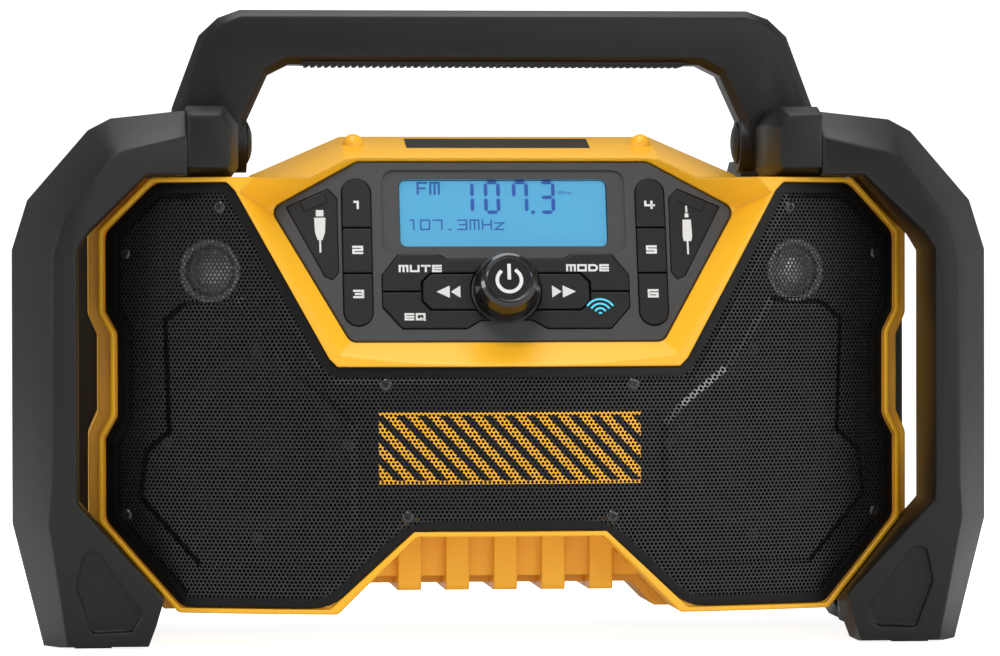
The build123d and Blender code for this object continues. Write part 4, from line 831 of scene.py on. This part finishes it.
def turnedPiece(name, profile, place, way, steps, material, body):
    # a profile of radius and height turned about an axis through place
    spin = Vector(way).to_track_quat("Z", "Y").to_matrix().to_4x4()
    matrix = Matrix.Translation(Vector(place)) @ spin
    rows = []
    for step in range(steps):
        angle = 2 * pi * step / steps
        rows.append([(r * cos(angle) * mm, r * sin(angle) * mm, h * mm) for r, h in profile])
    points, faces = closedStrip(rows)
    return meshPiece(name, points, faces, material, body, matrix, smooth=True)


for side, sideName in ((-1, "left"), (1, "right")):
    seat = onBow(alongBow(side * tweeter["x"]), tweeter["z"], -tweeter["seat"])
    turnedPiece(
        sideName + "TweeterRing", tweeter["profile"], seat, outwards(side * tweeter["x"]),
        tweeter["steps"], tweeterSilverAndHighlight, "radio",
    )

crownStrip = {
    "half": 39.5,
    "front": 57.0,
    "back": 74.0,
    "ridgeDepth": 78.0,
    "ridge": 216.5,
    "slope": 0.26,
    "lift": 0.06,
}


def onCrown(x, depth):
    fall = (crownStrip["ridgeDepth"] - depth) * crownStrip["slope"]
    height = crownStrip["ridge"] - fall + crownStrip["lift"]
    return (x * mm, (bow["front"] + depth) * mm, height * mm)


stripCorners = [(-1, "front"), (1, "front"), (1, "back"), (-1, "back")]
stripRing = [onCrown(way * crownStrip["half"], crownStrip[edge]) for way, edge in stripCorners]
meshPiece("crownStrip", stripRing, [(0, 1, 2, 3)], finishes["black_plastic"], "radio")
print("plates and strip made")


# marks on the console
console = {"tilt": 18.0, "depth": 22.0, "height": 150.0}
tilt = radians(console["tilt"])
consoleMatrix = Matrix((
    (1, 0, 0, 0),
    (0, sin(tilt), -cos(tilt), (bow["front"] + console["depth"]) * mm),
    (0, cos(tilt), sin(tilt), console["height"] * mm),
    (0, 0, 0, 1),
))

letters = {  # strokes of each sign in a box one wide and one high
    "0": [[(0, 0), (0, 1), (1, 1), (1, 0), (0, 0)]],
    "1": [[(0.25, 1), (0.62, 1), (0.62, 0)]],
    "2": [[(0, 1), (1, 1), (1, 0.5), (0, 0.5), (0, 0), (1, 0)]],
    "3": [[(0, 1), (1, 1), (1, 0), (0, 0)], [(0.2, 0.5), (1, 0.5)]],
    "4": [[(0, 1), (0, 0.42), (1, 0.42)], [(0.72, 1), (0.72, 0)]],
    "5": [[(1, 1), (0, 1), (0, 0.5), (1, 0.5), (1, 0), (0, 0)]],
    "6": [[(1, 1), (0, 1), (0, 0), (1, 0), (1, 0.5), (0, 0.5)]],
    "7": [[(0, 1), (1, 1), (1, 0)]],
    "D": [[(0, 0), (0, 1), (0.72, 1), (1, 0.72), (1, 0.28), (0.72, 0), (0, 0)]],
    "E": [[(1, 1), (0, 1), (0, 0), (1, 0)], [(0, 0.5), (1, 0.5)]],
    "F": [[(1, 1), (0, 1), (0, 0)], [(0, 0.5), (0.8, 0.5)]],
    "H": [[(0, 0), (0, 1)], [(1, 0), (1, 1)], [(0, 0.5), (1, 0.5)]],
    "M": [[(0, 0), (0, 1), (1, 1), (1, 0)], [(0.5, 1), (0.5, 0)]],
    "O": [[(0, 0), (0, 1), (1, 1), (1, 0), (0, 0)]],
    "Q": [[(0, 0), (0, 1), (1, 1), (1, 0), (0, 0)], [(0.55, 0.2), (1.05, -0.1)]],
    "T": [[(0, 1), (1, 1)], [(0.5, 1), (0.5, 0)]],
    "U": [[(0, 1), (0, 0), (1, 0), (1, 1)]],
    "Z": [[(0, 0.7), (1, 0.7), (0, 0), (1, 0)]],
    ".": [[(0.4, 0), (0.6, 0)]],
}


def strokeOutline(path, width):
    # the two sides of a line of a given width, mitred at its bends
    closed = path[0] == path[-1] and len(path) > 2
    points = [Vector(p) for p in (path[:-1] if closed else path)]
    count = len(points)
    left, right = [], []
    for index, here in enumerate(points):
        before = points[index - 1] if (closed or index > 0) else None
        after = points[(index + 1) % count] if (closed or index < count - 1) else None
        ways = []
        if before:
            ways.append((here - before).normalized())
        if after:
            ways.append((after - here).normalized())
        normals = [Vector((-w.y, w.x)) for w in ways]
        normal = sum(normals, Vector((0, 0))).normalized()
        reach = width / 2 / max(0.35, normal.dot(normals[0]))
        end = Vector((0, 0))
        if before is None:
            end = -ways[0] * width / 2
        if after is None:
            end = ways[-1] * width / 2
        left.append(here + end + normal * reach)
        right.append(here + end - normal * reach)
    return left, right, closed


def strokeMesh(paths, width, height):
    points, faces = [], []
    for path in paths:
        left, right, closed = strokeOutline(path, width)
        start = len(points)
        count = len(left)
        for a, b in zip(left, right):
            points.append((a.x * mm, a.y * mm, height * mm))
            points.append((b.x * mm, b.y * mm, height * mm))
        for index in range(count if closed else count - 1):
            a, b = start + 2 * index, start + 2 * ((index + 1) % count)
            faces.append((a, a + 1, b + 1, b))
    return points, faces


def wordPaths(word, centre, letterWidth, letterHeight, gap, stroke):
    total = len(word) * letterWidth + (len(word) - 1) * gap
    paths = []
    for index, character in enumerate(word):
        left = centre[0] - total / 2 + index * (letterWidth + gap) + stroke / 2
        low = centre[1] - letterHeight / 2 + stroke / 2
        for path in letters[character]:
            paths.append([
                (left + x * (letterWidth - stroke), low + y * (letterHeight - stroke)) for x, y in path
            ])
    return paths


def addMark(name, paths, width, height, body, material=printWhite):
    points, faces = strokeMesh(paths, width, height)
    return meshPiece(name, points, faces, material, body, matrix=consoleMatrix)


def addFilled(name, shapes, height, body, material=printWhite):
    # flat shapes that all look outwards
    points, faces = [], []
    for shape in shapes:
        start = len(points)
        ordered = shape if turnOf(shape) > 0 else list(reversed(shape))
        points += [(u * mm, v * mm, height * mm) for u, v in ordered]
        faces.append(tuple(range(start, start + len(ordered))))
    return meshPiece(name, points, faces, material, body, matrix=consoleMatrix)


marks = {
    "keyTop": 0.83,
    "coverTop": 0.03,
    "knobTop": 16.04,
    "word": {"width": 4.1, "height": 3.2, "stroke": 0.85},
    "number": {"width": 4.6, "height": 3.7, "stroke": 0.95},
    "gap": 0.6,
    "presetAcross": 62.3,
    "presetRows": [38.0, 18.0, -1.5],
    "lead": 0.8,
}
words = [
    ("MUTE", (-36.1, 9.7), "mute_key"),
    ("EQ", (-38.8, -11.6), "eq_key"),
    ("MODE", (34.8, 9.9), "mode_key"),
]


def addWord(name, word, centre, style, body):
    paths = wordPaths(word, centre, style["width"], style["height"], marks["gap"], style["stroke"])
    addMark(name, paths, style["stroke"], marks["keyTop"], body)


for word, centre, body in words:
    addWord("label" + word.title(), word, centre, marks["word"], body)
for index in range(6):
    side = -1 if index < 3 else 1
    centre = (side * marks["presetAcross"], marks["presetRows"][index % 3])
    number = str(index + 1)
    addWord("labelPreset" + number, number, centre, marks["number"], "preset_key_" + number)

arrows = {"tips": [29.5, 23.4], "bases": [23.9, 19.4], "middle": -0.6, "half": 2.7}
for side, body in ((-1, "tune_down_key"), (1, "tune_up_key")):
    low, middle, high = (arrows["middle"] + way * arrows["half"] for way in (-1, 0, 1))
    shapes = [
        [(side * base, low), (side * tip, middle), (side * base, high)]
        for tip, base in zip(arrows["tips"], arrows["bases"])
    ]
    addFilled("arrows" + body.title().replace("_", ""), shapes, marks["keyTop"], body)


def arcPath(centre, radius, angles):
    # angles in degrees, counted from the u axis
    cu, cv = centre
    return [(cu + radius * cos(radians(angle)), cv + radius * sin(radians(angle))) for angle in angles]


powerSign = {"centre": (0.0, -0.4), "radius": 5.1, "stroke": 1.5, "bar": [(0, 0.6), (0, 6.0)]}
ring = arcPath(powerSign["centre"], powerSign["radius"], [90 - turn for turn in range(38, 325, 12)])
addMark("powerSymbol", [ring, powerSign["bar"]], powerSign["stroke"], marks["knobTop"], "knob")

pairing = {"centre": (39.6, -10.4), "radii": [2.4, 4.4, 6.4], "stroke": 0.8}
cu, cv = pairing["centre"]
waves = [
    arcPath(pairing["centre"], radius, [35 + 110 * step / 8 for step in range(9)])
    for radius in pairing["radii"]
]
waves.append([(cu - 0.3, cv + 0.3), (cu + 0.3, cv + 0.3)])
# the pairing sign in cyan print, with its painted glow
addMark("pairingSymbol", waves, pairing["stroke"], marks["keyTop"], "pairing_key", glowingCyanPrint)

usbPlug = [
    [(-79.6, 36.0), (-76.4, 36.0), (-76.4, 33.2), (-79.6, 33.2)],
    [(-80.4, 32.6), (-75.6, 32.6), (-75.9, 26.0), (-77.0, 22.6), (-79.0, 22.6), (-80.1, 26.0)],
]
usbLead = [[(-78.0, 22.6), (-78.0, 17.5)]]
auxPlug = [
    [(77.2, 32.6), (78.8, 32.6), (78.8, 34.4), (77.2, 34.4)],
    [(76.4, 22.0), (79.6, 22.0), (80.0, 24.0), (79.8, 31.6), (76.2, 31.6), (76.0, 24.0)],
]
auxTip = [[(78.0, 35.2), (78.0, 37.4)], [(78.0, 21.6), (78.0, 16.5)]]
addFilled("usbPictogram", usbPlug, marks["coverTop"], "usb_cover")
addMark("usbPictogramLead", usbLead, marks["lead"], marks["coverTop"], "usb_cover")
addFilled("plugPictogram", auxPlug, marks["coverTop"], "aux_cover")
addMark("plugPictogramTip", auxTip, marks["lead"], marks["coverTop"], "aux_cover")
print("marks made")


# the display
display = {
    "halfWidth": 43.9,
    "low": 20.4,
    "top": 49.8,
    "corner": 3.0,
    "depth": -2.42,
    "inkDepth": -2.36,
}
digits = {
    "width": 5.3,
    "height": 13.3,
    "stroke": 1.6,
    "base": 35.7,
    "gap": 0.25,
    "lefts": {"1": -18.3, "0": -7.2, "7": 4.8, "3": 16.2},
    "lit": {"1": "bc", "0": "abcdef", "7": "abcf", "3": "abcdg"},
    "point": [(12.0, 34.9), (13.5, 34.9), (13.5, 36.4), (12.0, 36.4)],
}
lines = {  # text, middle, letter's width and height, gap, stroke, width drawn
    "lcdBand": ("FM", (-31.6, 46.4), 4.4, 5.6, 1.0, 0.8, 0.9),
    "lcdLine": ("107.3MHZ", (-20.2, 30.1), 4.2, 4.7, 1.05, 0.55, 0.62),
    "lcdUnit": ("MHZ", (26.6, 44.4), 1.5, 1.5, 0.5, 0.28, 0.28),
}


def segment(start, end):
    # one bar of a digit, pointed at both ends
    start, end = Vector(start), Vector(end)
    way = (end - start).normalized()
    side = Vector((-way.y, way.x)) * digits["stroke"] / 2
    start, end = start + way * digits["gap"], end - way * digits["gap"]
    tip = way * digits["stroke"] / 2
    ring = (start, start + tip + side, end - tip + side, end, end - tip - side, start + tip - side)
    return [tuple(point) for point in ring]


def makeScreen():
    half, low, top = display["halfWidth"], display["low"], display["top"]
    corners = [(half, low), (half, top), (-half, top), (-half, low)]
    ring = roundedOutline(corners, [display["corner"]] * len(corners), 5)
    addFilled("lcdScreen", [ring], display["depth"], "radio", screenBlue)
    foot = digits["base"]
    waist, head = foot + digits["height"] / 2, foot + digits["height"]
    shapes = []
    for character, left in digits["lefts"].items():
        right = left + digits["width"]
        bars = {
            "a": ((left, head), (right, head)),
            "b": ((right, head), (right, waist)),
            "c": ((right, waist), (right, foot)),
            "d": ((left, foot), (right, foot)),
            "e": ((left, foot), (left, waist)),
            "f": ((left, waist), (left, head)),
            "g": ((left, waist), (right, waist)),
        }
        shapes += [segment(*bars[key]) for key in digits["lit"][character]]
    shapes.append(digits["point"])
    addFilled("lcdDigits", shapes, display["inkDepth"], "radio", screenInk)
    for name, (*text, drawn) in lines.items():
        addMark(name, wordPaths(*text), drawn, display["inkDepth"], "radio", screenInk)


makeScreen()
print("display made")


# floor, light and camera
bowl = {
    "middle": 0.001,
    "flat": 4.5,
    "curve": 1.5,
    "curveSteps": 8,
    "height": 5.0,
    "steps": 64,
    "paper": 0.84,
    "glow": 0.12,
    "seenGlow": 0.8,
}


def makeStage():
    # plain pale floor that curves up into a wall all round
    profile = [(bowl["middle"], 0.0), (bowl["flat"], 0.0)]
    for step in range(1, bowl["curveSteps"] + 1):
        angle = radians(90 * step / bowl["curveSteps"])
        profile.append((bowl["flat"] + bowl["curve"] * sin(angle), bowl["curve"] * (1 - cos(angle))))
    profile.append((bowl["flat"] + bowl["curve"], bowl["height"]))
    rows = []
    for step in range(bowl["steps"]):
        angle = 2 * pi * step / bowl["steps"]
        rows.append([(r * cos(angle), r * sin(angle), z) for r, z in profile])
    points, faces = closedStrip(rows)
    faces.append(tuple(len(profile) * step for step in range(bowl["steps"])))
    mesh = bpy.data.meshes.new("studioFloor")
    mesh.from_pydata(points, [], faces)
    mesh.polygons.foreach_set("use_smooth", [True] * len(mesh.polygons))
    floor = bpy.data.objects.new("studioFloor", mesh)
    scene.collection.objects.link(floor)
    material, tree, shader = newMaterial("floorPaper")
    shader.inputs["Base Color"].default_value = (*[bowl["paper"]] * 3, 1.0)
    shader.inputs["Roughness"].default_value = 0.9
    shader.inputs["Specular IOR Level"].default_value = 0.1
    shader.inputs["Emission Color"].default_value = (1.0, 1.0, 1.0, 1.0)
    seen = addNode(tree, "ShaderNodeLightPath").outputs["Is Camera Ray"]
    glow = addNode(
        tree, "ShaderNodeMath", {0: seen, 1: bowl["seenGlow"], 2: bowl["glow"]}, operation="MULTIPLY_ADD"
    )
    tree.links.new(glow.outputs[0], shader.inputs["Emission Strength"])
    mesh.materials.append(material)


makeStage()

lamps = {  # place, aim, size in metres and power in watts
    "keyLight": ((-0.45, -1.3, 2.3), (0.0, -0.05, 0.12), 0.9, 30.0),
    "fillLight": ((1.2, -2.2, 0.9), (0.0, -0.05, 0.12), 1.2, 12.0),
    "topLight": ((0.0, 0.25, 1.6), (0.0, 0.0, 0.15), 1.2, 15.0),
    "leftStrip": ((-1.5, -0.55, 0.45), (-0.1, 0.0, 0.12), 0.4, 5.0),
    "rightStrip": ((1.5, -0.55, 0.45), (0.1, 0.0, 0.12), 0.4, 5.0),
}
for name, (place, aim, size, power) in lamps.items():
    lamp = bpy.data.lights.new(name, "AREA")
    lamp.size = size
    lamp.energy = power
    holder = bpy.data.objects.new(name, lamp)
    holder.location = place
    holder.rotation_euler = (Vector(aim) - Vector(place)).to_track_quat("-Z", "Y").to_euler()
    scene.collection.objects.link(holder)

world = bpy.data.worlds.new("studio")
world.use_nodes = True
sky = world.node_tree.nodes["Background"]
sky.inputs["Color"].default_value = (1.0, 1.0, 1.0, 1.0)
sky.inputs["Strength"].default_value = 0.12
scene.world = world
scene.view_settings.view_transform = "Standard"

view = {  # angles in degrees; focal is the focal length in pixels of a picture 1000 wide
    "place": (-0.1868, -2.1162, 0.1586),
    "yaw": 5.164,
    "pitch": -0.679,
    "roll": -0.106,
    "focal": 4855.9,
}
yaw, pitch, roll = radians(view["yaw"]), radians(view["pitch"]), radians(view["roll"])
forward = Vector((sin(yaw) * cos(pitch), cos(yaw) * cos(pitch), sin(pitch)))
level = Vector((cos(yaw), -sin(yaw), 0))
upward = level.cross(forward)
across = level * cos(roll) + upward * sin(roll)
upright = -level * sin(roll) + upward * cos(roll)
camera = bpy.data.cameras.new("camera")
camera.sensor_width = 36.0
camera.lens = 36.0 * view["focal"] / 1000
camera.clip_start = 0.05
cameraObject = bpy.data.objects.new("camera", camera)
cameraObject.matrix_world = Matrix((
    (across.x, upright.x, -forward.x, view["place"][0]),
    (across.y, upright.y, -forward.y, view["place"][1]),
    (across.z, upright.z, -forward.z, view["place"][2]),
    (0, 0, 0, 1),
))
scene.collection.objects.link(cameraObject)
scene.camera = cameraObject
print("stage, lights and camera set")
